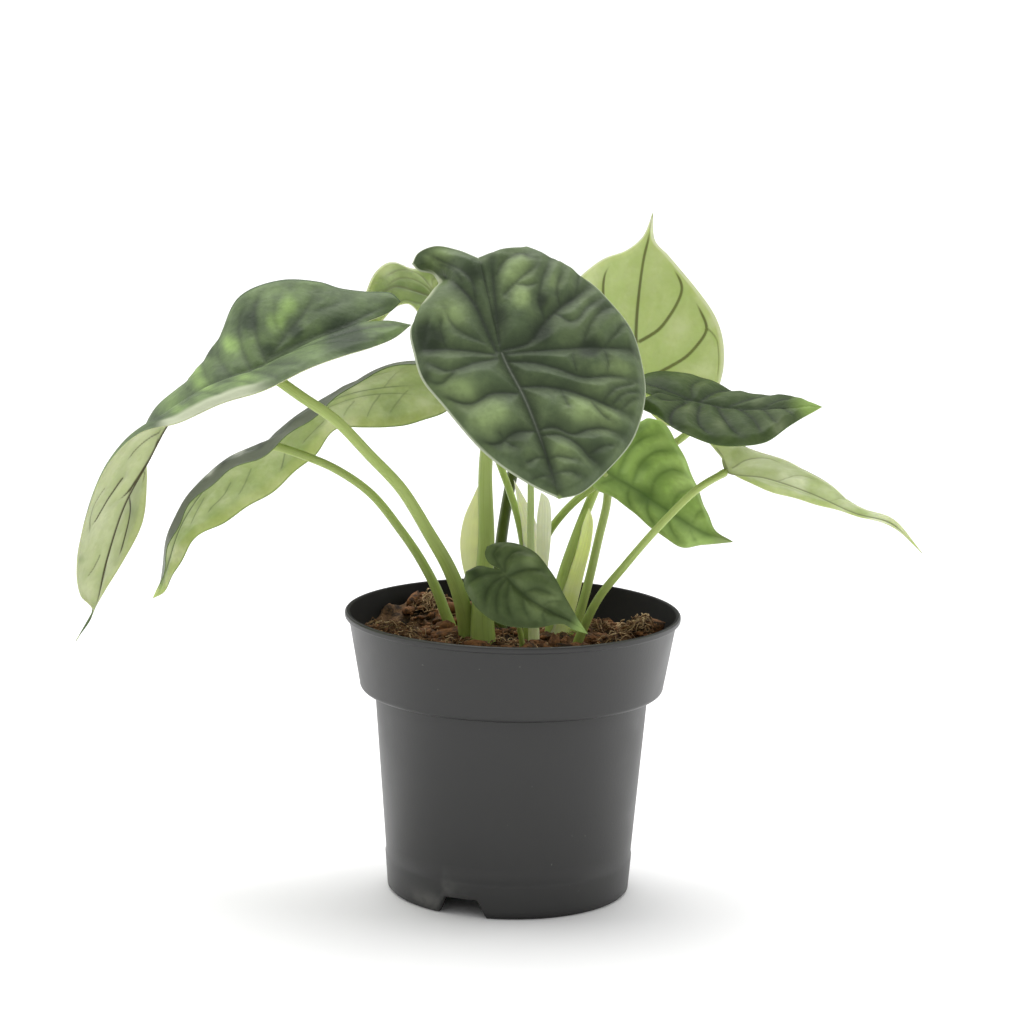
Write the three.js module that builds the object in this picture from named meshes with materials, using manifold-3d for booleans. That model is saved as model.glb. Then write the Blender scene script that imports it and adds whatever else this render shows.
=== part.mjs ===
// Potted dragon scale alocasia: quilted shield leaves on arching stalks, in a round nursery pot.
// Millimetres, +Z up. Pot and plant are laid out from the pot's axis, with z = 0 at the ground. The
// last lines move everything so that the origin is on the ground in the middle of the whole footprint.
// The front, from which the plant is seen best, is towards -Y.

import * as THREE from 'three';
import { mergeVertices } from 'three/addons/utils/BufferGeometryUtils.js';
import Module from 'manifold-3d';

const wasm = await Module();
wasm.setup();

// Driving dimensions
const POT_HEIGHT = 101.4;
const RIM_RADIUS = 60;
const RIM_BEAD_HEIGHT = 2.2;
const RIM_BEAD_WIDTH = 1.8;
const COLLAR_TOP_RADIUS = 58.7;
const COLLAR_FOOT_RADIUS = 54.4;
const COLLAR_FOOT_HEIGHT = 75.4;
const SHOULDER_HEIGHT = 73.4;
const BODY_TOP_RADIUS = 49;
const FOOT_RADIUS = 43.1;
const FOOT_RING_WIDTH = 2.1;
const FOOT_ROUNDING = 1;
const POT_WALL = 1.2;
const FLOOR_UNDERSIDE = 7;
const COLLAR_ROUNDING = 2;
const RIM_ROUNDING = 0.4;
const FLOOR_FILLET = 1;
const POT_SIDES = 56;

// Where a rounded corner's middle point lies, as a share of its radius from both sides
const CORNER_MIDDLE = 0.3;

const NOTCH_HEIGHT = 6.5;
const NOTCH_FOOT_WIDTH = 21;
const NOTCH_TOP_WIDTH = 11;
const NOTCH_COUNT = 3;
const NOTCH_CORNER = 1;
const NOTCH_DEPTH = 12;
const NOTCH_REACH = 4;
const NOTCH_AZIMUTH = THREE.MathUtils.degToRad(-24);
const DRAIN_HOLE_RADIUS = 4.5;
const DRAIN_HOLE_SIDES = 12;
const DRAIN_CIRCLE_RADIUS = 28;
const DRAIN_HOLES = 6;

const MIX_SURFACE = 91;
const MIX_FOOT_CHAMFER = 1.4;
const MIX_RINGS = 7;
const MIX_SIDES = 40;
const FIT_GAP = 0.3;

const RHIZOME_TOP = 84;
const RHIZOME_DEPTH = 20;
const RHIZOME_HALF_LENGTH = 27;
const RHIZOME_HALF_WIDTH = 21;
const RHIZOME_CENTRE = [1, 1];
const RHIZOME_SIDES = 24;

const BLADE_THICKNESS = 1;
const SHEATH_THICKNESS = 0.8;
const STALK_SIDES = 8;
const STALK_RINGS = 13;
const LOBE_ROWS = 4;
const BLADE_ROWS = 13;
const HALF_COLUMNS = 5;
const SHEATH_ROWS = 9;
const SHEATH_COLUMNS = 4;

// The picture that the leaves and stalks are laid out in: a view from the front, down on the pot at
// VIEW_FALL and turned by VIEW_ROLL, with VIEW_TARGET in its middle. PICTURE_MIDDLE and PICTURE_FOCUS,
// its middle and its focal length, are in picture points.
const VIEW_DISTANCE = 1200;
const VIEW_TARGET = new THREE.Vector3(-1.02, 0, 137.35);
const VIEW_FALL = THREE.MathUtils.degToRad(10.44);
const VIEW_ROLL = THREE.MathUtils.degToRad(1.1);
const PICTURE_MIDDLE = 512;
const PICTURE_FOCUS = 3376;

const POT_COLOUR = 0x4b4a49;
const MIX_COLOUR = 0x4a2f20;
const RHIZOME_COLOUR = 0x6b4a30;
const STALK_COLOUR = 0x87a24a;
const SATIN = 0.45;
const SOFT = 0.5;
const ROUGH = 0.8;
const CRUMBLY = 0.95;

// Points nearer together than this are one point
const WELD_DISTANCE = 1e-4;

// Leaves
// Every blade is two halves that share a midrib, which runs from the notch between the two lobes, past
// the point where the stalk joins, to the drip tip. Each half also has a short edge from its lobe's end
// to the notch, and a margin from the same lobe's end to the tip. Left and right are as seen on the
// upper side with the tip pointing down. arch is how far each half swells above the straight line from
// midrib to margin, as a share of its width. The points are chosen by eye: places across and down in
// the picture, in picture points, and the depth behind the pot's axis in millimetres. foot is where the
// stalk stands on the rhizome, across and back from the pot's axis in millimetres.
const LEAVES = {
  front: {
    colour: 0x51634f, arch: 0.07,
    midrib: [[478, 258, 2], [490, 305, -10], [502, 354, -22], [525, 400, -34], [547, 458, -48],
      [559, 499, -58]],
    leftEdge: [[412, 264, 3], [418, 253, 6], [435, 246, 8], [458, 250, 6]],
    leftMargin: [[419, 271, 5], [434, 276, 9], [441, 289, 7], [426, 309, -6], [412, 330, -14],
      [418, 356, -22], [445, 405, -36], [486, 453, -47], [528, 484, -53]],
    rightEdge: [[515, 252, 10], [495, 252, 7]],
    rightMargin: [[555, 266, 8], [600, 291, 2], [632, 333, -8], [645, 382, -20], [636, 434, -35],
      [608, 470, -47], [580, 494, -55]],
    foot: [-10, -6],
    stalk: [[482, 602, -3], [486, 541, 4], [485, 471, 6], [491, 411, -3], [501, 354, -22]],
    stalkRadii: [5, 2.4],
  },
  left_upper: {
    colour: 0x4f6a48, arch: 0.05,
    midrib: [[366, 322, -4], [315, 342, -12], [262, 368, -20], [203, 391, -22], [172, 418, -20],
      [147, 462, -16], [124, 505, -12], [106, 560, -8], [94, 610, -6], [76, 641, -6]],
    leftEdge: [[401, 302, 7], [390, 312, 3]],
    leftMargin: [[391, 293, 10], [365, 292, 12], [340, 289, 12], [318, 282, 12], [280, 280, 12],
      [240, 297, 10], [218, 340, 8], [190, 382, 6], [158, 410, 8], [145, 440, 12],
      [147, 480, 16], [143, 520, 16], [122, 562, 8], [96, 606, -4]],
    rightEdge: [[411, 325, -4], [390, 321, -2]],
    rightMargin: [[396, 337, -13], [372, 347, -24], [345, 356, -36], [305, 370, -46],
      [262, 391, -50], [222, 404, -50], [180, 422, -50], [140, 433, -50],
      [108, 466, -47], [85, 520, -42], [78, 560, -36], [80, 595, -20], [93, 613, -7]],
    foot: [-15, 3],
    stalk: [[463, 607, -2], [449, 569, -8], [429, 534, -12], [401, 489, -17], [370, 456, -20],
      [335, 420, -23], [300, 396, -24], [261, 368, -20]],
    stalkRadii: [3.6, 2],
  },
  left_lower: {
    colour: 0xa3ad86, arch: 0.05,
    midrib: [[420, 389, 9], [383, 390, 12], [345, 398, 16], [310, 416, 15], [268, 444, 14],
      [235, 459, 15], [205, 487, 16], [180, 525, 18], [168, 560, 19], [160, 592, 20], [153, 598, 20]],
    leftEdge: [[445, 408, 10], [434, 397, 9]],
    leftMargin: [[425, 418, 16], [385, 428, 22], [340, 428, 28], [312, 457, 32], [270, 493, 34],
      [225, 521, 34], [192, 542, 32], [176, 570, 26], [164, 592, 22]],
    rightEdge: [[432, 362, -6], [428, 376, 2]],
    rightMargin: [[400, 366, -6], [366, 377, -6], [335, 400, -5], [300, 427, -5], [262, 456, -4],
      [225, 474, -2], [192, 503, 2], [172, 538, 8], [162, 578, 15]],
    foot: [-19, 12],
    stalk: [[446, 615, 12], [436, 589, 13], [420, 559, 14], [401, 531, 15], [371, 494, 16],
      [335, 469, 16], [299, 454, 16], [268, 444, 14]],
    stalkRadii: [2.3, 1.6],
  },
  upright: {
    colour: 0xa9bd76, arch: 0.04,
    midrib: [[645, 408, 44], [638, 385, 46], [636, 330, 50], [643, 262, 54], [649, 236, 55],
      [653, 212, 56]],
    leftEdge: [[605, 428, 36], [628, 420, 41]],
    leftMargin: [[580, 391, 35], [568, 341, 37], [570, 290, 42], [600, 261, 47], [628, 249, 52],
      [643, 236, 55]],
    rightEdge: [[690, 425, 38], [665, 425, 41]],
    rightMargin: [[712, 400, 38], [724, 365, 40], [718, 322, 43], [695, 287, 47], [668, 255, 52],
      [655, 240, 55]],
    foot: [13, 8],
    stalk: [[560, 586, 14], [575, 539, 20], [601, 474, 32], [623, 419, 42], [638, 385, 46]],
    stalkRadii: [2.8, 1.8],
  },
  right_upper: {
    colour: 0x42593d, arch: 0.05,
    midrib: [[664, 398, -3], [688, 402, -2], [735, 411, -3], [780, 410, -4], [822, 407, -4]],
    leftEdge: [[646, 399, -10], [655, 397, -6]],
    leftMargin: [[658, 415, -20], [685, 434, -30], [725, 446, -32], [765, 442, -28], [792, 424, -16],
      [810, 414, -8]],
    rightEdge: [[632, 386, 10], [648, 392, 2]],
    rightMargin: [[655, 378, 20], [690, 380, 25], [735, 393, 23], [775, 401, 14], [802, 400, 4]],
    foot: [6, 14],
    stalk: [[536, 570, 22], [545, 539, 25], [564, 512, 25], [590, 489, 24], [640, 460, 24],
      [671, 445, 22], [690, 430, 14], [691, 417, 4], [688, 402, -2]],
    stalkRadii: [1.9, 1.4],
  },
  right_middle: {
    colour: 0x5f8a3f, arch: 0.05,
    midrib: [[598, 458, 4], [606, 470, 2], [640, 492, -3], [672, 514, -6], [708, 535, -6],
      [733, 542, -6]],
    leftEdge: [[585, 470, 8], [588, 462, 6]],
    leftMargin: [[595, 488, 6], [618, 500, 2], [652, 528, -1], [682, 547, -3], [703, 545, -5]],
    rightEdge: [[640, 424, 20], [615, 438, 11]],
    rightMargin: [[658, 420, 20], [676, 445, 17], [690, 480, 11], [702, 513, 3], [715, 532, -3]],
    foot: [20, 5],
    stalk: [[589, 579, 8], [598, 540, 9], [607, 500, 8], [606, 470, 2]],
    stalkRadii: [2, 1.6],
  },
  right_far: {
    colour: 0xa9b58a, arch: 0.05,
    midrib: [[722, 458, -10], [727, 471, -8], [765, 477, -6], [810, 492, -4], [855, 512, 0],
      [892, 523, 2], [922, 553, 4]],
    leftEdge: [[700, 432, -20], [712, 446, -15]],
    leftMargin: [[722, 440, -22], [748, 448, -24], [790, 463, -22], [828, 484, -16], [860, 508, -7],
      [893, 519, 0]],
    rightEdge: [[724, 455, 8], [722, 455, 0]],
    rightMargin: [[734, 474, 13], [770, 491, 12], [812, 503, 10], [850, 514, 7], [892, 527, 3]],
    foot: [20, -11],
    stalk: [[596, 602, -17], [625, 565, -20], [661, 524, -21], [696, 490, -19], [727, 471, -8]],
    stalkRadii: [1.9, 1.4],
  },
  small_front: {
    colour: 0x4c6a45, arch: 0.06,
    midrib: [[501, 567, -35], [506, 576, -36], [528, 598, -42], [552, 612, -46], [572, 622, -47],
      [588, 634, -47]],
    leftEdge: [[470, 568, -28], [486, 566, -32]],
    leftMargin: [[466, 582, -31], [477, 607, -39], [500, 624, -45], [535, 627, -48], [566, 622, -48]],
    rightEdge: [[487, 546, -26], [488, 556, -30]],
    rightMargin: [[510, 543, -28], [533, 551, -33], [552, 573, -39], [566, 600, -45], [574, 619, -47]],
    foot: [4, -17],
    stalk: [[521, 637, -22], [513, 603, -26], [505, 577, -36]],
    stalkRadii: [1.2, 0.9],
  },
  back: {
    colour: 0x4f6350, arch: 0.06,
    midrib: [[531, 369, 40], [531, 384, 44], [528, 405, 52], [524, 429, 58], [519, 447, 60]],
    leftEdge: [[543, 338, 29], [537, 353, 34]],
    leftMargin: [[556, 356, 34], [564, 384, 47], [557, 410, 55], [540, 434, 59]],
    rightEdge: [[510, 337, 29], [523, 352, 34]],
    rightMargin: [[482, 357, 35], [471, 379, 46], [484, 409, 54], [508, 431, 59]],
    foot: [-3, 16],
    stalk: [[497, 600, 20], [500, 549, 24], [507, 501, 30], [519, 441, 36], [531, 384, 44]],
    stalkRadii: [2.2, 1.6],
  },
  back_left: {
    colour: 0x9aa67c, arch: 0.05,
    midrib: [[450, 300, 22], [438, 298, 24], [415, 290, 28], [393, 286, 34], [372, 304, 42],
      [358, 330, 46], [350, 350, 46]],
    leftEdge: [[452, 325, 30], [453, 312, 26]],
    leftMargin: [[425, 320, 34], [409, 304, 38], [395, 308, 42], [378, 326, 47], [362, 342, 48]],
    rightEdge: [[452, 262, 16], [455, 280, 18]],
    rightMargin: [[432, 268, 16], [412, 269, 18], [395, 262, 22], [377, 270, 30], [366, 292, 38],
      [356, 322, 44]],
    foot: [6, 4],
    stalk: [[525, 561, 8], [518, 519, 10], [507, 484, 13], [491, 441, 18], [462, 349, 24],
      [438, 298, 24]],
    stalkRadii: [1.8, 1.3],
  },
};

// A new leaf stands rolled up between the stalks, thickest at its foot, laid out as a stalk is
const NEW_LEAF = {
  colour: 0x8aa553,
  foot: [8, -6],
  stalk: [[533, 601, -4], [531, 545, -2], [531, 491, 0], [530, 440, 2], [529, 425, 3]],
  stalkRadii: [1.9, 0.5],
};

// Papery sheaths beside the stalks, each a curved plate between two edges that share both their ends.
// top and bottom are those ends, and bulge is how far the plate swells forwards, as a share of its width.
const SHEATHS = {
  sheath_front: {
    colour: 0xb9c98e, bulge: 0.15,
    top: [485, 471, 6],
    bottom: [482, 605, -3],
    inner: [[487, 529, 5], [483, 581, 0]],
    outer: [[473, 497, 8], [464, 518, 9], [461, 543, 9], [464, 568, 8], [471, 592, 5]],
  },
  sheath_back_left: {
    colour: 0xb4cc84, bulge: 0.2,
    top: [518, 475, 10],
    bottom: [529, 635, 4],
    inner: [[523, 503, 9], [523, 526, 8], [525, 556, 7], [527, 596, 5]],
    outer: [[529, 498, 9], [537, 512, 9], [540, 529, 8], [539, 563, 6], [535, 602, 4]],
  },
  sheath_new_leaf: {
    colour: 0xc3d69b, bulge: 0.2,
    top: [541, 492, -1],
    bottom: [535, 627, -6],
    inner: [[537, 517, -2], [537, 551, -3], [536, 591, -5]],
    outer: [[549, 500, -1], [551, 535, -3], [547, 574, -5], [544, 605, -6]],
  },
  sheath_upright: {
    colour: 0xa4c36a, bulge: 0.18,
    top: [590, 498, 22],
    bottom: [551, 635, 9],
    inner: [[581, 531, 20], [569, 571, 16], [557, 612, 11]],
    outer: [[595, 515, 20], [594, 547, 17], [586, 581, 14], [574, 613, 10], [560, 633, 8]],
  },
};

// The picture's directions: into it, across it and up it
const INTO = new THREE.Vector3(0, Math.cos(VIEW_FALL), -Math.sin(VIEW_FALL));
const ACROSS = new THREE.Vector3(1, 0, 0).applyAxisAngle(INTO, -VIEW_ROLL);
const UPWARDS = ACROSS.clone().cross(INTO);
const VIEWPOINT = VIEW_TARGET.clone().addScaledVector(INTO, -VIEW_DISTANCE);

// The point in space that shows at a place in the picture and lies at a depth behind the pot's axis
function seen([across, down, depth]) {
  const ray = INTO.clone()
    .addScaledVector(ACROSS, (across - PICTURE_MIDDLE) / PICTURE_FOCUS)
    .addScaledVector(UPWARDS, (PICTURE_MIDDLE - down) / PICTURE_FOCUS);
  return VIEWPOINT.clone().addScaledVector(ray, (depth - VIEWPOINT.y) / ray.y);
}

// Solids and meshes
function weld(geometry) {
  const plain = geometry.clone();
  plain.deleteAttribute('normal');
  plain.deleteAttribute('uv');
  const merged = mergeVertices(plain, WELD_DISTANCE);
  const index = merged.index.array;
  const kept = [];
  for (let i = 0; i < index.length; i += 3) {
    const [a, b, c] = [index[i], index[i + 1], index[i + 2]];
    if (a !== b && b !== c && c !== a) kept.push(a, b, c);
  }
  merged.setIndex(kept);
  return merged;
}

function toSolid(geometry) {
  const welded = weld(geometry);
  return new wasm.Manifold(new wasm.Mesh({
    numProp: 3,
    vertProperties: new Float32Array(welded.attributes.position.array),
    triVerts: new Uint32Array(welded.index.array),
  }));
}

function toGeometry(solid) {
  const { vertProperties, triVerts, numProp } = solid.getMesh();
  const positions = new Float32Array((vertProperties.length / numProp) * 3);
  for (let i = 0; i < positions.length / 3; i += 1) {
    positions.set(vertProperties.subarray(i * numProp, i * numProp + 3), i * 3);
  }
  const geometry = new THREE.BufferGeometry();
  geometry.setAttribute('position', new THREE.BufferAttribute(positions, 3));
  geometry.setIndex(Array.from(triVerts));
  return geometry;
}

function largestPiece(solid) {
  const pieces = solid.decompose();
  return pieces.reduce((best, piece) => (piece.volume() > best.volume() ? piece : best));
}

function makeMesh(name, geometry, material) {
  geometry.computeVertexNormals();
  const mesh = new THREE.Mesh(geometry, material);
  mesh.name = name;
  return mesh;
}

function finish(colour, roughness) {
  return new THREE.MeshStandardMaterial({ color: colour, roughness, metalness: 0 });
}

function smoothCurve(points) {
  return new THREE.CatmullRomCurve3(points, false, 'centripetal');
}

// Points evenly spaced along a smooth curve through the given points
function smoothLine(points, count) {
  return smoothCurve(points).getSpacedPoints(count);
}

// A surface from rows of points that all have the same length, with its upper side where the row
// direction turned towards the column direction points up, or the other way round when flipped
function gridSurface(rows, flipped) {
  const columns = rows[0].length;
  const geometry = new THREE.BufferGeometry().setFromPoints(rows.flat());
  const index = [];
  for (let i = 0; i < rows.length - 1; i += 1) {
    for (let j = 0; j < columns - 1; j += 1) {
      const a = i * columns + j;
      const [b, c, d] = [a + columns, a + columns + 1, a + 1];
      index.push(...(flipped ? [a, c, b, a, d, c] : [a, b, c, a, c, d]));
    }
  }
  geometry.setIndex(index);
  return geometry;
}

// A closed plate of even thickness about an open surface: both faces and a wall along every free edge
function thicken(surface, thickness) {
  surface.computeVertexNormals();
  const { position, normal } = surface.attributes;
  const index = surface.index.array;
  const count = position.count;
  const points = [];
  for (const side of [0.5, -0.5]) {
    for (let i = 0; i < count; i += 1) {
      const shift = new THREE.Vector3().fromBufferAttribute(normal, i).multiplyScalar(side * thickness);
      points.push(new THREE.Vector3().fromBufferAttribute(position, i).add(shift));
    }
  }
  const faces = [];
  const edges = new Set();
  for (let i = 0; i < index.length; i += 3) {
    const corners = [index[i], index[i + 1], index[i + 2]];
    faces.push(...corners, corners[0] + count, corners[2] + count, corners[1] + count);
    corners.forEach((corner, k) => edges.add(`${corner},${corners[(k + 1) % 3]}`));
  }
  for (const edge of edges) {
    const [a, b] = edge.split(',').map(Number);
    if (!edges.has(`${b},${a}`)) faces.push(b, a, a + count, b, a + count, b + count);
  }
  const plate = new THREE.BufferGeometry().setFromPoints(points);
  plate.setIndex(faces);
  return plate;
}

function joinSurfaces(first, second) {
  const points = [];
  for (const surface of [first, second]) {
    const { position } = surface.attributes;
    for (let i = 0; i < position.count; i += 1) {
      points.push(new THREE.Vector3().fromBufferAttribute(position, i));
    }
  }
  const shift = first.attributes.position.count;
  const joined = new THREE.BufferGeometry().setFromPoints(points);
  joined.setIndex([...first.index.array, ...Array.from(second.index.array, (i) => i + shift)]);
  return weld(joined);
}

// Blades
// Half of a blade, as rows that run from the lobe's edge and the midrib to the margin. side is 1 for the
// right half and -1 for the left one.
function halfBlade(leaf, lobeEdge, margin, side) {
  const [notch, tip] = [leaf.midrib[0], leaf.midrib[leaf.midrib.length - 1]];
  const edge = smoothLine([...lobeEdge, notch].map(seen), LOBE_ROWS);
  const midrib = smoothLine(leaf.midrib.map(seen), BLADE_ROWS);
  const inner = [...edge.slice(0, -1), ...midrib];
  const lobeShare = lengthOf(edge) / (lengthOf(edge) + lengthOf(midrib));
  const outer = smoothCurve([lobeEdge[0], ...margin, tip].map(seen));
  const rows = inner.map((start, i) => {
    const share = i < LOBE_ROWS
      ? (lobeShare * i) / LOBE_ROWS
      : lobeShare + ((1 - lobeShare) * (i - LOBE_ROWS)) / BLADE_ROWS;
    const across = outer.getPointAt(Math.min(share, 1)).sub(start);
    const along = inner[Math.min(i + 1, inner.length - 1)].clone().sub(inner[Math.max(i - 1, 0)]);
    const rise = along.cross(across).normalize().multiplyScalar(side * leaf.arch * across.length());
    return Array.from({ length: HALF_COLUMNS + 1 }, (_, j) => {
      const s = j / HALF_COLUMNS;
      return start.clone().addScaledVector(across, s).addScaledVector(rise, 4 * s * (1 - s));
    });
  });
  return gridSurface(rows, side < 0);
}

function lengthOf(line) {
  return line.slice(1).reduce((sum, point, i) => sum + point.distanceTo(line[i]), 0);
}

function bladeSurface(leaf) {
  const right = halfBlade(leaf, leaf.rightEdge, leaf.rightMargin, 1);
  const left = halfBlade(leaf, leaf.leftEdge, leaf.leftMargin, -1);
  return joinSurfaces(right, left);
}

// Stalks
// A stalk's course, from its foot on the rhizome's flat top
function stalkPath({ foot, stalk }) {
  return [new THREE.Vector3(...foot, RHIZOME_TOP + FIT_GAP), ...stalk.map(seen)];
}

// Stalks are round and taper up from a thicker, flat foot. extra widens them all round.
function stalkGeometry(path, [footRadius, endRadius], extra = 0) {
  const line = smoothLine(path, STALK_RINGS);
  const positions = [];
  let side = new THREE.Vector3(1, 0, 0);
  line.forEach((centre, i) => {
    const t = i / STALK_RINGS;
    const along = line[Math.min(i + 1, STALK_RINGS)].clone().sub(line[Math.max(i - 1, 0)]).normalize();
    if (i === 0) along.set(0, 0, 1);
    side = side.clone().addScaledVector(along, -side.dot(along)).normalize();
    const up = along.clone().cross(side);
    const radius = endRadius + (footRadius - endRadius) * (1 - t) ** 3 + extra;
    for (let k = 0; k < STALK_SIDES; k += 1) {
      const angle = (2 * Math.PI * k) / STALK_SIDES;
      positions.push(centre.clone()
        .addScaledVector(side, radius * Math.cos(angle))
        .addScaledVector(up, radius * Math.sin(angle)));
    }
  });
  const index = [];
  for (let i = 0; i < STALK_RINGS; i += 1) {
    for (let k = 0; k < STALK_SIDES; k += 1) {
      const [a, b] = [i * STALK_SIDES + k, i * STALK_SIDES + ((k + 1) % STALK_SIDES)];
      index.push(a, b, b + STALK_SIDES, a, b + STALK_SIDES, a + STALK_SIDES);
    }
  }
  const last = STALK_RINGS * STALK_SIDES;
  for (let k = 1; k < STALK_SIDES - 1; k += 1) {
    index.push(0, k + 1, k, last, last + k, last + k + 1);
  }
  const geometry = new THREE.BufferGeometry().setFromPoints(positions);
  geometry.setIndex(index);
  return geometry;
}

// A stalk with a clear space all round and under its foot, for the pocket that it stands in
function stalkSpace([foot, ...rest], radii) {
  const deeper = foot.clone().setZ(foot.z - FIT_GAP);
  return toSolid(stalkGeometry([deeper, ...rest], radii, FIT_GAP));
}

// Pot
function innerCollarRadius(height) {
  const collarHeight = POT_HEIGHT - RIM_BEAD_HEIGHT - COLLAR_FOOT_HEIGHT;
  const slope = (COLLAR_TOP_RADIUS - COLLAR_FOOT_RADIUS) / collarHeight;
  return COLLAR_FOOT_RADIUS - POT_WALL + slope * (height - COLLAR_FOOT_HEIGHT);
}

function innerBodyRadius(height) {
  return FOOT_RADIUS - POT_WALL + ((BODY_TOP_RADIUS - FOOT_RADIUS) * height) / SHOULDER_HEIGHT;
}

function potProfile() {
  const floorTop = FLOOR_UNDERSIDE + POT_WALL;
  const ringInside = FOOT_RADIUS - FOOT_RING_WIDTH;
  const beadFoot = POT_HEIGHT - RIM_BEAD_HEIGHT;
  const beadInside = RIM_RADIUS - RIM_BEAD_WIDTH;
  const shoulderTop = COLLAR_FOOT_HEIGHT + POT_WALL;
  const wallTop = SHOULDER_HEIGHT - POT_WALL;
  return [
    [0, FLOOR_UNDERSIDE],
    [ringInside, FLOOR_UNDERSIDE],
    [ringInside, 0],
    [FOOT_RADIUS - FOOT_ROUNDING, 0],
    [FOOT_RADIUS - CORNER_MIDDLE * FOOT_ROUNDING, CORNER_MIDDLE * FOOT_ROUNDING],
    [FOOT_RADIUS, FOOT_ROUNDING],
    [BODY_TOP_RADIUS, SHOULDER_HEIGHT],
    [COLLAR_FOOT_RADIUS - COLLAR_ROUNDING, SHOULDER_HEIGHT],
    [COLLAR_FOOT_RADIUS - CORNER_MIDDLE * COLLAR_ROUNDING,
      SHOULDER_HEIGHT + CORNER_MIDDLE * COLLAR_ROUNDING],
    [COLLAR_FOOT_RADIUS, COLLAR_FOOT_HEIGHT],
    [COLLAR_TOP_RADIUS, beadFoot],
    [RIM_RADIUS - RIM_ROUNDING, beadFoot],
    [RIM_RADIUS, beadFoot + RIM_ROUNDING],
    [RIM_RADIUS, POT_HEIGHT - RIM_ROUNDING],
    [RIM_RADIUS - RIM_ROUNDING, POT_HEIGHT],
    [beadInside + RIM_ROUNDING, POT_HEIGHT],
    [beadInside, POT_HEIGHT - RIM_ROUNDING],
    [innerCollarRadius(beadFoot - POT_WALL), beadFoot - POT_WALL],
    [innerCollarRadius(shoulderTop), shoulderTop],
    [innerBodyRadius(SHOULDER_HEIGHT), shoulderTop],
    [innerBodyRadius(wallTop), wallTop],
    [innerBodyRadius(floorTop + FLOOR_FILLET), floorTop + FLOOR_FILLET],
    [innerBodyRadius(floorTop) - FLOOR_FILLET, floorTop],
    [0, floorTop],
  ].map(([radius, height]) => new THREE.Vector2(radius, height));
}

// A lathe about +Z, closed where the profile meets the axis
function turned(profile, sides) {
  return new THREE.LatheGeometry(profile, sides).rotateX(Math.PI / 2);
}

// A notch's outline, a little lower than the foot so that it cuts right through
function notchGeometry(azimuth) {
  const foot = NOTCH_FOOT_WIDTH / 2;
  const top = NOTCH_TOP_WIDTH / 2;
  const outline = new THREE.Shape([
    [-foot, -NOTCH_CORNER],
    [foot, -NOTCH_CORNER],
    [top + NOTCH_CORNER, NOTCH_HEIGHT - NOTCH_CORNER],
    [top, NOTCH_HEIGHT],
    [-top, NOTCH_HEIGHT],
    [-top - NOTCH_CORNER, NOTCH_HEIGHT - NOTCH_CORNER],
  ].map(([across, height]) => new THREE.Vector2(across, height)));
  return new THREE.ExtrudeGeometry(outline, { depth: NOTCH_DEPTH, bevelEnabled: false })
    .rotateX(Math.PI / 2)
    .translate(0, -FOOT_RADIUS + NOTCH_DEPTH - NOTCH_REACH, 0)
    .rotateZ(azimuth);
}

function makePot() {
  let pot = toSolid(turned(potProfile(), POT_SIDES));
  for (let i = 0; i < NOTCH_COUNT; i += 1) {
    pot = pot.subtract(toSolid(notchGeometry(NOTCH_AZIMUTH + (2 * Math.PI * i) / NOTCH_COUNT)));
  }
  for (let i = 0; i < DRAIN_HOLES; i += 1) {
    const azimuth = NOTCH_AZIMUTH + (2 * Math.PI * i) / DRAIN_HOLES;
    const hole = new THREE.CylinderGeometry(
      DRAIN_HOLE_RADIUS, DRAIN_HOLE_RADIUS, 4 * POT_WALL, DRAIN_HOLE_SIDES)
      .rotateX(Math.PI / 2)
      .translate(0, -DRAIN_CIRCLE_RADIUS, FLOOR_UNDERSIDE + POT_WALL / 2)
      .rotateZ(azimuth);
    pot = pot.subtract(toSolid(hole));
  }
  return makeMesh('pot', toGeometry(pot), finish(POT_COLOUR, SATIN));
}

// Potting mix
// Heaps and hollows on the surface: place, spread and height
const HEAPS = [
  { x: -34, y: 36, spread: 14, height: 7 },
  { x: -46, y: -6, spread: 12, height: 3 },
  { x: 46, y: 8, spread: 9, height: 4 },
  { x: 26, y: 6, spread: 9, height: 2 },
  { x: 8, y: -44, spread: 14, height: 2 },
  { x: 30, y: 42, spread: 20, height: -3 },
];

// Low waves over the whole surface: height, start, and how fast they turn across and back
const BROAD_WAVE = { height: 0.7, start: 1.3, across: 0.35, back: 0.31 };
const FINE_WAVE = { height: 0.4, across: -0.4, back: 0.71 };

function mixHeight(x, y) {
  const heaps = HEAPS.reduce((sum, heap) => {
    const distance = Math.hypot(x - heap.x, y - heap.y) / heap.spread;
    return sum + heap.height * Math.exp(-distance * distance);
  }, 0);
  const broad = BROAD_WAVE.height
    * Math.sin(BROAD_WAVE.across * x + BROAD_WAVE.start) * Math.cos(BROAD_WAVE.back * y);
  const fine = FINE_WAVE.height * Math.sin(FINE_WAVE.across * x + FINE_WAVE.back * y);
  return MIX_SURFACE + heaps + broad + fine;
}

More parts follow.
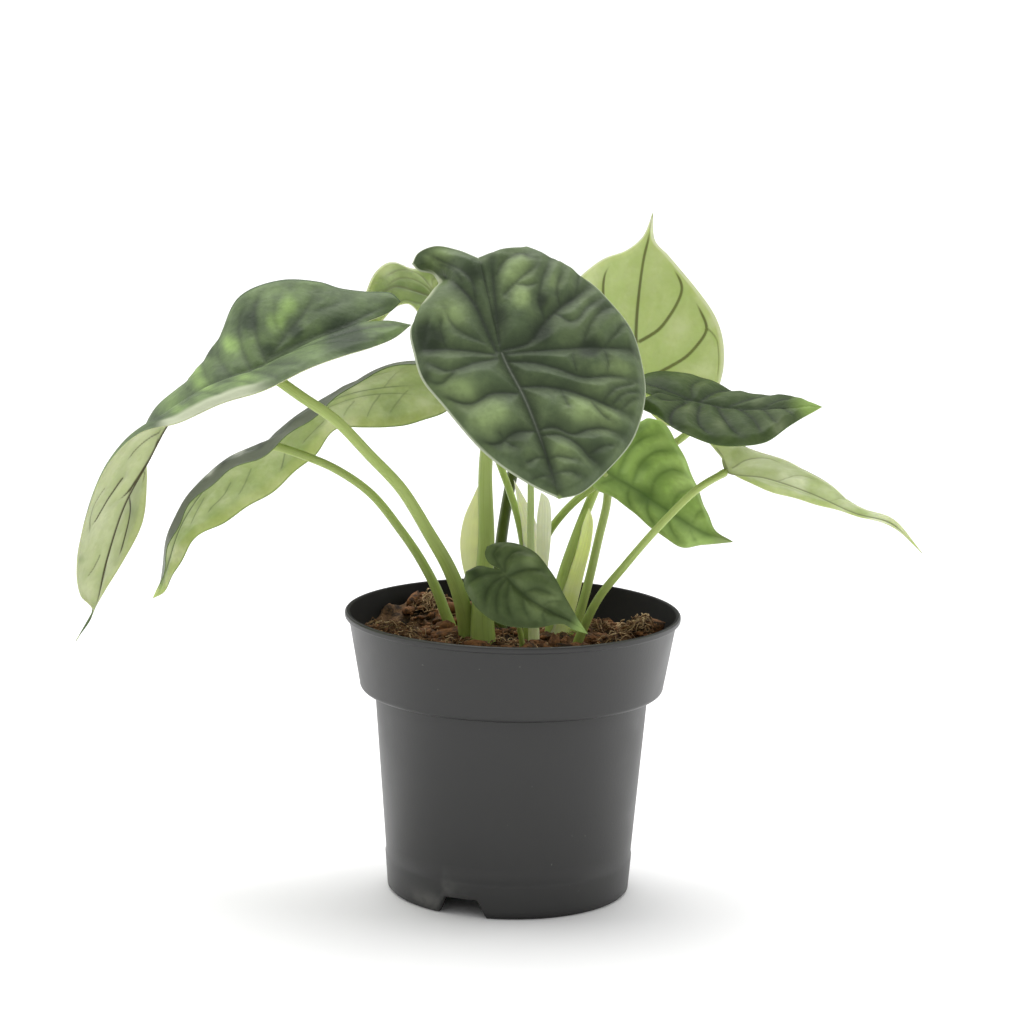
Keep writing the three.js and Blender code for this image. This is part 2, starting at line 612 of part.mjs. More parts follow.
function mixGeometry() {
  const floor = FLOOR_UNDERSIDE + POT_WALL + FIT_GAP;
  const shoulder = COLLAR_FOOT_HEIGHT + POT_WALL + FIT_GAP;
  const surfaceRadius = innerCollarRadius(MIX_SURFACE) - FIT_GAP;
  const top = Array.from({ length: MIX_RINGS + 1 }, (_, i) => [
    surfaceRadius * (1 - i / MIX_RINGS), MIX_SURFACE]);
  const profile = [
    [0, floor],
    [innerBodyRadius(floor) - MIX_FOOT_CHAMFER - FIT_GAP, floor],
    [innerBodyRadius(floor + MIX_FOOT_CHAMFER) - FIT_GAP, floor + MIX_FOOT_CHAMFER],
    [innerBodyRadius(SHOULDER_HEIGHT - POT_WALL) - FIT_GAP, shoulder],
    [innerCollarRadius(shoulder) - FIT_GAP, shoulder],
    ...top,
  ].map(([radius, height]) => new THREE.Vector2(radius, height));
  const geometry = turned(profile, MIX_SIDES);
  const { position } = geometry.attributes;
  for (let i = 0; i < position.count; i += 1) {
    if (position.getZ(i) < MIX_SURFACE - WELD_DISTANCE) continue;
    const [x, y] = [position.getX(i), position.getY(i)];
    const height = mixHeight(x, y);
    const stretch = (innerCollarRadius(height) - FIT_GAP) / surfaceRadius;
    position.setXYZ(i, x * stretch, y * stretch, height);
  }
  return geometry;
}

// Rhizome
// A low flat-topped clump that every stalk stands on: shares of its half length and of its depth
const RHIZOME_PROFILE = [[0, 1], [0.5, 0.9], [0.85, 0.6], [1, 0.25], [0.97, 0.06], [0.93, 0], [0, 0]];

function rhizomeGeometry(extra = 0) {
  const height = RHIZOME_DEPTH + 2 * extra;
  const profile = RHIZOME_PROFILE.map(([radius, depth]) => new THREE.Vector2(
    radius * (RHIZOME_HALF_LENGTH + extra), RHIZOME_TOP + extra - depth * height));
  return turned(profile, RHIZOME_SIDES)
    .scale(1, RHIZOME_HALF_WIDTH / RHIZOME_HALF_LENGTH, 1)
    .translate(...RHIZOME_CENTRE, 0);
}

// Sheaths
function sheathSurface(sheath) {
  const [inner, outer] = [sheath.inner, sheath.outer].map((edge) => smoothLine(
    [sheath.top, ...edge, sheath.bottom].map(seen), SHEATH_ROWS));
  const rows = inner.map((start, i) => {
    const across = outer[i].clone().sub(start);
    const rise = new THREE.Vector3(0, -sheath.bulge * across.length(), 0);
    return Array.from({ length: SHEATH_COLUMNS + 1 }, (_, j) => {
      const s = j / SHEATH_COLUMNS;
      return start.clone().addScaledVector(across, s).addScaledVector(rise, 4 * s * (1 - s));
    });
  });
  return weld(gridSurface(rows, false));
}

// Assembly
const plant = new THREE.Group();
plant.add(makePot());

let mix = toSolid(mixGeometry()).subtract(toSolid(rhizomeGeometry(FIT_GAP)));
const stalkSpaces = [];

function clearWay(path, radii) {
  const space = stalkSpace(path, radii);
  stalkSpaces.push(space);
  mix = mix.subtract(space);
}

for (const [place, leaf] of Object.entries(LEAVES)) {
  const surface = bladeSurface(leaf);
  const path = stalkPath(leaf);
  const bladeSpace = toSolid(thicken(surface, BLADE_THICKNESS + 2 * FIT_GAP));
  const stalk = largestPiece(toSolid(stalkGeometry(path, leaf.stalkRadii)).subtract(bladeSpace));
  clearWay(path, leaf.stalkRadii);
  plant.add(makeMesh(`blade_${place}`, thicken(surface, BLADE_THICKNESS), finish(leaf.colour, SOFT)));
  plant.add(makeMesh(`stalk_${place}`, toGeometry(stalk), finish(STALK_COLOUR, SATIN)));
}

const newLeafPath = stalkPath(NEW_LEAF);
const newLeafGeometry = stalkGeometry(newLeafPath, NEW_LEAF.stalkRadii);
clearWay(newLeafPath, NEW_LEAF.stalkRadii);
plant.add(makeMesh('new_leaf', newLeafGeometry, finish(NEW_LEAF.colour, SATIN)));

for (const [name, sheath] of Object.entries(SHEATHS)) {
  const plate = toSolid(thicken(sheathSurface(sheath), SHEATH_THICKNESS));
  const trimmed = stalkSpaces.reduce((rest, space) => rest.subtract(space), plate);
  plant.add(makeMesh(name, toGeometry(largestPiece(trimmed)), finish(sheath.colour, SOFT)));
}

plant.add(makeMesh('rhizome', toGeometry(toSolid(rhizomeGeometry())), finish(RHIZOME_COLOUR, ROUGH)));
plant.add(makeMesh('potting_mix', toGeometry(largestPiece(mix)), finish(MIX_COLOUR, CRUMBLY)));

// The origin goes on the ground, in the middle of the footprint of plant and pot together
const spread = new THREE.Box3().setFromObject(plant, true);
const middle = spread.getCenter(new THREE.Vector3());
plant.position.set(-middle.x, -middle.y, -spread.min.z);
plant.updateMatrixWorld(true);

export default plant;
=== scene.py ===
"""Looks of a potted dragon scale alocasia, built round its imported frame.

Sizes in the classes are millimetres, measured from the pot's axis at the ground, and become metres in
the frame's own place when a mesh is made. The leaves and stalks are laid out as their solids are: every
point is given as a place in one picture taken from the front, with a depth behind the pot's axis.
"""

import logging
import math
from dataclasses import dataclass
from enum import Enum

import bpy
import numpy as np
from mathutils import Matrix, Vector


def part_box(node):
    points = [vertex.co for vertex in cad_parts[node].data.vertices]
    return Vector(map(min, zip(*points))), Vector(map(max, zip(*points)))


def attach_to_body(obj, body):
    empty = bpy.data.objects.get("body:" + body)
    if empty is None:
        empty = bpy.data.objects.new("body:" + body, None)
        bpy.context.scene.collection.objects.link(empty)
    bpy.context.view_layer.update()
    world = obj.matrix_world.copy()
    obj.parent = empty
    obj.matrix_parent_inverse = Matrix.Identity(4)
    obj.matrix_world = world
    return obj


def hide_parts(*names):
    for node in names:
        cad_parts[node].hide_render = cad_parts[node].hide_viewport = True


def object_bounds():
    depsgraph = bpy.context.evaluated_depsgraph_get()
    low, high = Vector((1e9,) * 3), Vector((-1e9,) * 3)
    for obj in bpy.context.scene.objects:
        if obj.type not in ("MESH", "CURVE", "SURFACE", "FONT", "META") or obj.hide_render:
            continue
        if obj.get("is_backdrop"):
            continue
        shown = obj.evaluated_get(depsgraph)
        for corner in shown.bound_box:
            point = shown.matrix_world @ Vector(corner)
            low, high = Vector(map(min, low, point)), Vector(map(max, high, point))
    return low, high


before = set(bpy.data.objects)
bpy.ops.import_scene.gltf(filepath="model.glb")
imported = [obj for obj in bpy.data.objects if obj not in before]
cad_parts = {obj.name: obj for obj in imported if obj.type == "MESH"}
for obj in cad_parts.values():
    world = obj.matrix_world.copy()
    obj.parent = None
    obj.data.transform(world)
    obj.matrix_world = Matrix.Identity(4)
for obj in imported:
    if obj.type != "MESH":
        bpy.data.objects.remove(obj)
CAD_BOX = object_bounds()

Array = np.ndarray
Triple = tuple[float, float, float]
Numbers = tuple[float, ...]
Socket = bpy.types.NodeSocket
Material = bpy.types.Material
Piece = bpy.types.Object

LOG = logging.getLogger("plant")
METRES = 0.001
SEED = 7


class Side(Enum):
    """Which half of a blade a surface is, as seen on the upper side with the tip pointing down."""

    RIGHT = 1
    LEFT = -1


class Wall(Enum):
    """The material slots of the pot's mesh."""

    OUTSIDE = 0
    INSIDE = 1


class Layer(Enum):
    """The material slots of a blade's mesh."""

    UPPER = 0
    UNDER = 1


POT_LOW, POT_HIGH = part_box("pot")
AXIS = np.array([POT_LOW.x + POT_HIGH.x, POT_LOW.y + POT_HIGH.y, 0.0]) / 2 / METRES


@dataclass(frozen=True)
class Picture:
    """The view from the front that the plant is laid out in and that the camera takes."""

    distance: float = 1200.0
    target: Triple = (-1.02, 0.0, 137.35)
    fall: float = math.radians(10.44)
    roll: float = math.radians(1.1)
    middle: float = 512.0
    focus: float = 3376.0

    def axes(self) -> tuple[Array, Array, Array]:
        """Return the unit directions into, across and up the picture."""
        level = np.array([1.0, 0.0, 0.0])
        steep = np.array([0.0, math.sin(self.fall), math.cos(self.fall)])
        into = np.array([0.0, math.cos(self.fall), -math.sin(self.fall)])
        across = level * math.cos(self.roll) + steep * math.sin(self.roll)
        up = steep * math.cos(self.roll) - level * math.sin(self.roll)
        return into, across, up

    def eye(self) -> Array:
        """Return the viewpoint."""
        return np.array(self.target) - self.axes()[0] * self.distance

    def seen(self, places: Numbers) -> Array:
        """Find the points in space that show at places in the picture and lie at given depths.

        Args:
            places: How far across and down each place is, and its depth behind the pot's axis.

        Returns:
            The points in millimetres, one row each.
        """
        given = np.reshape(places, (-1, 3)).astype(float)
        into, across, up = self.axes()
        eye = self.eye()
        rays = into + across * ((given[:, :1] - self.middle) / self.focus)
        rays = rays + up * ((self.middle - given[:, 1:2]) / self.focus)
        return eye + rays * ((given[:, 2] - eye[1]) / rays[:, 1])[:, None]

    def shown(self, points: Array) -> Array:
        """Return where points in space show in the picture, across and down."""
        into, across, up = self.axes()
        away = points - self.eye()
        deep = away @ into
        return np.stack([
            self.middle + self.focus * (away @ across) / deep,
            self.middle - self.focus * (away @ up) / deep,
        ], axis=-1)


PICTURE = Picture()


def unit(vectors: Array) -> Array:
    """Return the vectors at length one, and a zero vector as it is."""
    length = np.linalg.norm(vectors, axis=-1, keepdims=True)
    return vectors / np.maximum(length, 1e-12)


def smoothstep(low: float, high: float, value: Array) -> Array:
    """Rise from 0 at low to 1 at high along 3t^2 - 2t^3."""
    t = np.clip((value - low) / (high - low), 0.0, 1.0)
    return t * t * (3 - 2 * t)


def steps(count: int) -> Array:
    """Return so many even shares from 0 to 1."""
    return np.linspace(0.0, 1.0, count)


def circle(count: int) -> Array:
    """Return so many even angles round a full turn."""
    return np.linspace(0.0, 2 * math.pi, count, endpoint=False)


def bell(value: Array, width: Array | float) -> Array:
    """Return exp(-(value / width)^2)."""
    return np.exp(-(value / width) ** 2)


def lathe(radius: Array, height: Array, turns: Array) -> Array:
    """Return the points at these radii and heights, turned round the axis to these angles."""
    return np.stack(np.broadcast_arrays(radius * np.cos(turns), radius * np.sin(turns), height), axis=-1)


def curve_at(points: Array, shares: Array) -> Array:
    """Follow a smooth curve through points.

    The curve is the centripetal Catmull-Rom cubic: its knots lie apart by the square roots of the
    chords, and past either end it goes on through the mirrored neighbour.

    Args:
        points: The points that the curve passes through, one row each.
        shares: Places along the curve, as shares of its length.

    Returns:
        The curve's points at those places.
    """
    gaps = np.sqrt(np.linalg.norm(np.diff(points, axis=0), axis=1))
    knots = np.concatenate([[0.0], np.cumsum(gaps)])
    line = np.vstack([2 * points[0] - points[1], points, 2 * points[-1] - points[-2]])
    times = np.concatenate([[-gaps[0]], knots, [knots[-1] + gaps[-1]]])
    at = np.linspace(0.0, knots[-1], 80 * len(points))
    span = np.clip(np.searchsorted(knots, at, side="right") - 1, 0, len(points) - 2)
    t = [times[span + k] for k in range(4)]
    p = [line[span + k] for k in range(4)]

    def between(a: Array, b: Array, start: Array, end: Array) -> Array:
        """Blend a into b as the time goes from start to end."""
        share = ((at - start) / (end - start))[:, None]
        return a + (b - a) * share

    one, two, three = (between(p[k], p[k + 1], t[k], t[k + 1]) for k in range(3))
    dense = between(between(one, two, t[0], t[2]), between(two, three, t[1], t[3]), t[1], t[2])
    run = np.concatenate([[0.0], np.cumsum(np.linalg.norm(np.diff(dense, axis=0), axis=1))])
    wanted = np.asarray(shares) * run[-1]
    return np.stack([np.interp(wanted, run, dense[:, k]) for k in range(3)], axis=1)


def drawn_line(places: Array, count: int) -> Array:
    """Return so many points of the smooth line through places in the picture."""
    flat = np.pad(np.reshape(places, (-1, 2)).astype(float), ((0, 0), (0, 1)))
    return curve_at(flat, steps(count))[:, :2]


def length_of(line: Array) -> float:
    """Return the length of a line of points."""
    return float(np.linalg.norm(np.diff(line, axis=0), axis=1).sum())


def value_noise(x: Array, y: Array, size: float, seed: int) -> Array:
    """Lay random heights on a square lattice and blend smoothly between them.

    Args:
        x: Places along the first direction.
        y: Places along the second direction.
        size: The lattice's step.
        seed: The seed of the lattice's heights.

    Returns:
        Heights from -1 to 1.
    """
    cells = 64
    heights = np.random.default_rng(seed).uniform(-1.0, 1.0, (cells, cells))
    u, v = x / size, y / size
    i, j = np.floor(u).astype(int), np.floor(v).astype(int)
    fu, fv = smoothstep(0.0, 1.0, u - i), smoothstep(0.0, 1.0, v - j)
    near, far = (
        heights[i % cells, (j + k) % cells] * (1 - fu) + heights[(i + 1) % cells, (j + k) % cells] * fu
        for k in (0, 1)
    )
    return near * (1 - fv) + far * fv


def grid_faces(rows: int, columns: int, flip: bool = False) -> Array:
    """Return the quads of a grid of rows by columns points."""
    index = np.arange(rows * columns).reshape(rows, columns)
    quads = np.stack([index[:-1, :-1], index[1:, :-1], index[1:, 1:], index[:-1, 1:]], axis=-1)
    quads = quads.reshape(-1, 4)
    return quads[:, ::-1] if flip else quads


def closed_faces(rings: int, sides: int) -> Array:
    """Return the quads of rings of points that each close on themselves."""
    index = np.arange(rings * sides).reshape(rings, sides)
    index = np.hstack([index, index[:, :1]])
    quads = np.stack([index[:-1, :-1], index[:-1, 1:], index[1:, 1:], index[1:, :-1]], axis=-1)
    return quads.reshape(-1, 4)


def placed(name: str, data: bpy.types.ID) -> Piece:
    """Return a new object with this data, in the scene."""
    piece = bpy.data.objects.new(name, data)
    bpy.context.scene.collection.objects.link(piece)
    return piece


@dataclass
class Surface:
    """Points in millimetres with their quads, the slot of each quad, and values at the points."""

    points: Array
    quads: Array
    slots: Array | None = None
    values: dict[str, Array] | None = None

    def welded(self) -> "Surface":
        """Return the same surface with each repeated point kept once."""
        keys = np.round(self.points * 1e4).astype(np.int64)
        _, first, inverse = np.unique(keys, axis=0, return_index=True, return_inverse=True)
        values = {name: value[first] for name, value in (self.values or {}).items()}
        return Surface(self.points[first], inverse.reshape(-1)[self.quads], self.slots, values)

    def outward(self) -> "Surface":
        """Return the same closed surface with its faces pointing out, by the sign of its volume."""
        a, b, c, d = (self.points[self.quads[:, k]] for k in range(4))
        volume = ((np.cross(b - a, c - a) + np.cross(c - a, d - a)) * a).sum()
        quads = self.quads if volume > 0 else self.quads[:, ::-1]
        return Surface(self.points, quads, self.slots, self.values)

    def build(self, name: str, materials: list[Material], node: str = "", slot: str = "") -> Piece:
        """Make the object, at the frame's own place and in metres.

        Args:
            name: The piece's name.
            materials: Its materials, in the order of the slots.
            node: The solid that it stands for, if any.
            slot: The slot that it wears, if any. Not used.

        Returns:
            The object, linked to the scene and riding on the root body.
        """
        whole = self.welded()
        quads = whole.quads
        fresh = quads != np.roll(quads, 1, axis=1)
        sizes = fresh.sum(axis=1)
        kept = sizes >= 3
        loops = quads[kept][fresh[kept]]
        sizes = sizes[kept]
        mesh = bpy.data.meshes.new(name)
        mesh.vertices.add(len(whole.points))
        mesh.vertices.foreach_set("co", ((whole.points + AXIS) * METRES).astype(np.float32).ravel())
        mesh.loops.add(len(loops))
        mesh.loops.foreach_set("vertex_index", loops.astype(np.int32))
        mesh.polygons.add(len(sizes))
        starts = np.concatenate([[0], np.cumsum(sizes)[:-1]])
        mesh.polygons.foreach_set("loop_start", starts.astype(np.int32))
        mesh.update(calc_edges=True)
        for material in materials:
            mesh.materials.append(material)
        if whole.slots is not None:
            mesh.polygons.foreach_set("material_index", whole.slots[kept].astype(np.int32))
        for key, value in (whole.values or {}).items():
            layer = mesh.attributes.new(key, "FLOAT", "POINT")
            layer.data.foreach_set("value", value.astype(np.float32))
        mesh.validate()
        mesh.shade_smooth()
        piece = placed(name, mesh)
        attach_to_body(piece, "root")
        if node:
            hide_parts(node)
        return piece


def copies(shapes: Array, quads: Array, tones: Array) -> Surface:
    """Return many shapes with the same quads as one surface, each with its own tone."""
    size = shapes[0].size // 3
    faces = quads[None] + (np.arange(len(shapes)) * size)[:, None, None]
    return Surface(shapes.reshape(-1, 3), faces.reshape(-1, 4), None, {"tone": np.repeat(tones, size)})


def joined(parts: list[Surface]) -> Surface:
    """Return several surfaces as one, in their order."""
    shifts = np.cumsum([0] + [len(part.points) for part in parts[:-1]])
    names = parts[0].values or {}
    return Surface(
        np.vstack([part.points for part in parts]),
        np.vstack([part.quads + shift for part, shift in zip(parts, shifts)]),
        None if parts[0].slots is None else np.concatenate([part.slots for part in parts]),
        {key: np.concatenate([part.values[key] for part in parts]) for key in names},
    )


def patch(points: Array, values: dict[str, Array], flip: bool, layer: Layer) -> Surface:
    """Return a grid of points as a surface in one layer."""
    quads = grid_faces(*points.shape[:2], flip=flip)
    flat = {key: value.ravel() for key, value in values.items()}
    return Surface(points.reshape(-1, 3), quads, np.full(len(quads), layer.value), flat)


def closed_sheet(faces: list[Array], values: dict[str, Array], walls: tuple, flip: bool = False) -> Surface:
    """Join two faces by the walls between them.

    Args:
        faces: The points of the upper and the lower face, each a grid.
        values: The values at the points of either, shaped as the grids.
        walls: The rows and the column that each wall runs along, and whether its quads are flipped.
        flip: Whether the quads of the upper face are flipped.

    Returns:
        The whole sheet. Its walls count as its under layer.
    """
    parts = [patch(face, values, flip != (layer is Layer.UNDER), layer) for layer, face in zip(Layer, faces)]
    for rows, column, turned in walls:
        pair = np.stack([face[rows, column] for face in faces], axis=1)
        edge = {key: np.repeat(value[rows, column], 2) for key, value in values.items()}
        parts.append(patch(pair, edge, turned, Layer.UNDER))
    return joined(parts)


class Graph:
    """The nodes of a material or a group, with short calls that add and join them."""

    def __init__(self, tree: bpy.types.NodeTree) -> None:
        """Work on this node tree."""
        self.tree = tree

    def add(self, kind: str, inputs: dict | None = None, **settings: object) -> bpy.types.Node:
        """Add a node.

        Args:
            kind: The node's type.
            inputs: Sockets, plain values or colours by the input's name or number.
            settings: The node's own settings.

        Returns:
            The node.
        """
        node = self.tree.nodes.new(kind)
        for name, value in settings.items():
            setattr(node, name, value)
        for key, value in (inputs or {}).items():
            if isinstance(value, Socket):
                self.tree.links.new(value, node.inputs[key])
            else:
                node.inputs[key].default_value = (*value, 1.0) if isinstance(value, tuple) else value
        return node

    def maths(self, operation: str, a: object, b: object) -> Socket:
        """Return the result of one operation on two values."""
        return self.add("ShaderNodeMath", {0: a, 1: b}, operation=operation).outputs[0]

    def times(self, a: object, b: object) -> Socket:
        """Return the product of two values."""
        return self.maths("MULTIPLY", a, b)

    def plus(self, a: object, b: object) -> Socket:
        """Return the sum of two values."""
        return self.maths("ADD", a, b)

    def painted(self, colour: object, *coats: tuple[object, object]) -> Socket:
        """Return a colour under several coats, each a mask and the colour that it lays on."""
        for mask, coat in coats:
            inputs = {0: mask, 6: colour, 7: coat}
            colour = self.add("ShaderNodeMix", inputs, data_type="RGBA", clamp_factor=True).outputs[2]
        return colour

    def rescale(self, value: object, low: float, high: float) -> Socket:
        """Return 0 below low, 1 above high, and a smooth rise between."""
        inputs = {0: value, 1: low, 2: high, 3: 0.0, 4: 1.0}
        return self.add("ShaderNodeMapRange", inputs, interpolation_type="SMOOTHSTEP").outputs[0]

    def noise(self, place: object, scale: object, detail: float = 3.0) -> Socket:
        """Return cloudy noise from 0 to 1."""
        inputs = {"Vector": place, "Scale": scale, "Detail": detail}
        return self.add("ShaderNodeTexNoise", inputs).outputs["Fac"]


def make_group(name: str, inputs: dict[str, str], outputs: dict[str, str]) -> tuple:
    """Start a node group.

    Args:
        name: The group's name.
        inputs: Kind of socket by the input's name.
        outputs: Kind of socket by the output's name.

    Returns:
        The group's graph, what comes into it, and what it has to give.
    """
    tree = bpy.data.node_groups.new(name, "ShaderNodeTree")
    for way, sockets in (("INPUT", inputs), ("OUTPUT", outputs)):
        for key, kind in sockets.items():
            tree.interface.new_socket(key, in_out=way, socket_type="NodeSocket" + kind)
    graph = Graph(tree)
    return graph, graph.add("NodeGroupInput").outputs, graph.add("NodeGroupOutput").inputs


def mottle_group() -> bpy.types.NodeTree:
    """Make the group that clouds a base colour with a second one, in broad and fine patches."""
    graph, given, out = make_group(
        "mottle",
        {"Place": "Vector", "Base": "Color", "Patch": "Color", "Scale": "Float", "Amount": "Float"},
        {"Color": "Color", "Mask": "Float"},
    )
    broad = graph.noise(given["Place"], given["Scale"], 2.0)
    fine = graph.noise(given["Place"], graph.times(given["Scale"], 5.0))
    both = graph.plus(graph.times(broad, 0.7), graph.times(fine, 0.3))
    mask = graph.times(graph.rescale(both, 0.38, 0.62), given["Amount"])
    graph.tree.links.new(graph.painted(given["Base"], (mask, given["Patch"])), out["Color"])
    graph.tree.links.new(mask, out["Mask"])
    return graph.tree


def grain_group() -> bpy.types.NodeTree:
    """Make the group that gives a fine uneven height, for the skin of a leaf or the face of plastic."""
    graph, given, out = make_group(
        "grain", {"Place": "Vector", "Scale": "Float", "Cells": "Float"}, {"Height": "Float"}
    )
    cells = graph.add(
        "ShaderNodeTexVoronoi", {"Vector": given["Place"], "Scale": given["Scale"]}, feature="SMOOTH_F1"
    ).outputs["Distance"]
    cloud = graph.noise(given["Place"], given["Scale"], 4.0)
    graph.tree.links.new(graph.plus(cloud, graph.times(cells, given["Cells"])), out["Height"])
    return graph.tree


MOTTLE = mottle_group()
GRAIN = grain_group()


class Skin(Graph):
    """A material's nodes, round a Principled shader whose even values are set on its own sockets."""

    def __init__(self, name: str, shader: dict[str, object]) -> None:
        """Make the material, with plain values by the shader's socket."""
        self.material = bpy.data.materials.new(name)
        self.material.use_nodes = True
        super().__init__(self.material.node_tree)
        self.shader = self.tree.nodes["Principled BSDF"]
        for key, value in shader.items():
            self.shader.inputs[key].default_value = value
        self.place = self.add("ShaderNodeTexCoord").outputs["Object"]

    def value(self, name: str) -> Socket:
        """Return a value that the mesh carries at its points."""
        return self.add("ShaderNodeAttribute", attribute_name=name).outputs["Fac"]

    def mottle(self, base: object, patch: object, scale: float, amount: float) -> tuple[Socket, Socket]:
        """Return the base colour clouded with the patch colour, and the mask of the clouds."""
        inputs = {"Place": self.place, "Base": base, "Patch": patch, "Scale": scale, "Amount": amount}
        outputs = self.add("ShaderNodeGroup", inputs, node_tree=MOTTLE).outputs
        return outputs["Color"], outputs["Mask"]

    def grain(self, scale: float, cells: float) -> Socket:
        """Return the height of a fine grain, with so much of round cells in it."""
        inputs = {"Place": self.place, "Scale": scale, "Cells": cells}
        return self.add("ShaderNodeGroup", inputs, node_tree=GRAIN).outputs["Height"]

    def finished(
        self, colour: Socket, rough: Socket | None = None, height: Socket | None = None,
        depth: float = 0.0, share: float = 0.0,
    ) -> Material:
        """Join what the surface shows to the shader.

        Args:
            colour: Its colour.
            rough: Its roughness, where that differs over the surface.
            height: The height of its bumps, if it has any.
            depth: How deep they are, in metres.
            share: The share of them that counts.

        Returns:
            The material.
        """
        self.tree.links.new(colour, self.shader.inputs["Base Color"])
        if rough:
            self.tree.links.new(rough, self.shader.inputs["Roughness"])
        if height:
            bump = self.add("ShaderNodeBump", {"Height": height, "Distance": depth, "Strength": share})
            self.tree.links.new(bump.outputs[0], self.shader.inputs["Normal"])
        return self.material


@dataclass(frozen=True)
class UpperFinish:
    """A blade's upper side: dark sunk veins, a grey-green quilted skin and greener patches, partly painted
    highlights.
    """

    vein: Triple = (0.022, 0.032, 0.018)
    shade: Triple = (0.022, 0.033, 0.017)
    skin: Triple = (0.085, 0.122, 0.056)
    patch: Triple = (0.3, 0.4, 0.16)
    rim: Triple = (0.44, 0.49, 0.35)
    tip: Triple = (0.28, 0.37, 0.13)
    # crest is the colour of a painted highlight along the midrib, and ridge is how much of it is laid
    crest: Triple = (0.13, 0.15, 0.11)
    turned: Triple = (0.42, 0.46, 0.31)
    line: float = 0.85
    bands: float = 0.8
    ridge: float = 0.0
    gloss: float = 0.2

    def material(self, name: str) -> Material:
        """Return the material, from the masks that the mesh carries.

        The skin turns to the patch colour where the glow is high and the quilting stands up, and to the
        shade where the glow is low and near the veins: painted highlights and painted shade, partly the
        leaf's own lighter panels and dark venation. The other masks each lay their own colour on it, and
        the crest colour along the midrib is a painted highlight.
        """
        graph = Skin(name, {"Roughness": 0.5, "Specular IOR Level": self.gloss})
        # The glow is painted light: above one half it lays painted highlights, below it painted shade.
        value, glow = graph.value, graph.value("glow")
        high = graph.plus(0.55, graph.times(value("pillow"), 0.45))
        warm = graph.painted(self.skin, (graph.times(graph.rescale(glow, 0.5, 1.0), high), self.patch))
        cloud, _ = graph.mottle(warm, self.patch, 55.0, 0.2)
        drift, mask = graph.mottle(cloud, self.shade, 100.0, 0.28)
        colour = graph.painted(
            drift,
            # painted shade where the glow is low, and along the veins
            (graph.times(graph.rescale(glow, 0.5, 0.0), 0.9), self.shade),
            (graph.times(value("shade"), self.bands), self.shade),
            (graph.times(value("vein"), self.line), self.vein),
            # painted highlight along the midrib's crest
            (graph.times(value("spine"), self.ridge), self.crest),
            (value("rim"), self.rim), (value("turned"), self.turned), (value("tip"), self.tip),
        )
        rough = graph.plus(0.46, graph.times(mask, 0.3))
        height = graph.plus(graph.times(graph.grain(650.0, 0.6), 0.25), graph.noise(graph.place, 190.0))
        return graph.finished(colour, rough, height, 0.0008, 0.5)


@dataclass(frozen=True)
class UnderFinish:
    """A blade's underside: pale translucent tissue with thin dark raised veins, painted highlights and
    painted shade.
    """

    skin: Triple = (0.42, 0.48, 0.24)
    patch: Triple = (0.56, 0.6, 0.4)
    vein: Triple = (0.11, 0.09, 0.04)
    # soft is the colour of painted shade on the underside, and of random darker clouds
    soft: Triple = (0.27, 0.33, 0.13)
    rim: Triple = (0.5, 0.55, 0.33)
    tip: Triple = (0.36, 0.43, 0.18)
    dark: float = 0.85
    bands: float = 0.4

    def material(self, name: str) -> Material:
        """Return the material, from the masks that the mesh carries."""
        graph = Skin(name, {
            "Roughness": 0.55, "Specular IOR Level": 0.2, "Subsurface Weight": 0.25,
            "Subsurface Radius": (0.003, 0.004, 0.0012), "Subsurface Scale": 1.0,
        })
        value, glow = graph.value, graph.value("glow")
        # Painted light: the patch colour where the glow is high, and the soft colour as painted shade where
        # it is low.
        lit = graph.painted(
            self.skin, (graph.rescale(glow, 0.5, 1.0), self.patch), (graph.rescale(glow, 0.5, 0.0), self.soft)
        )
        cloud, _ = graph.mottle(lit, self.patch, 60.0, 0.35)
        drift, _ = graph.mottle(cloud, self.soft, 110.0, 0.35)
        colour = graph.painted(
            drift,
            # painted shade along the veins
            (graph.times(value("shade"), self.bands), self.soft),
            (graph.times(graph.rescale(value("vein"), 0.22, 0.8), self.dark), self.vein),
            (value("rim"), self.rim), (value("tip"), self.tip),
        )
        height = graph.plus(graph.times(graph.grain(800.0, 0.3), 0.2), graph.noise(graph.place, 210.0))
        return graph.finished(colour, None, height, 0.0007, 0.45)


@dataclass(frozen=True)
class StemFinish:
    """The skin of a stalk, sheath or rolled leaf: fine lengthwise streaks, from foot to top colour."""

    name: str
    foot: Triple = (0.33, 0.44, 0.1)
    top: Triple = (0.42, 0.51, 0.17)
    streak: Triple = (0.22, 0.3, 0.06)
    amount: float = 0.5
    roughness: float = 0.38
    translucency: float = 0.2

    def material(self) -> Material:
        """Return the material, from how far along and round the piece a point lies."""
        graph = Skin(self.name, {
            "Roughness": self.roughness, "Specular IOR Level": 0.3,
            "Subsurface Weight": self.translucency,
            "Subsurface Radius": (0.0035, 0.0045, 0.0015), "Subsurface Scale": 1.0,
        })
        along = graph.value("along")
        place = {"X": graph.times(graph.value("round"), 26.0), "Y": graph.times(along, 5.0)}
        lines = graph.noise(graph.add("ShaderNodeCombineXYZ", place).outputs[0], 1.0)
        streaks = graph.times(graph.rescale(lines, 0.45, 0.7), self.amount)
        body = graph.painted(self.foot, (along, self.top), (streaks, self.streak))
        cloud, _ = graph.mottle(body, self.top, 90.0, 0.3)
        return graph.finished(cloud, None, lines, 0.0003, 0.35)


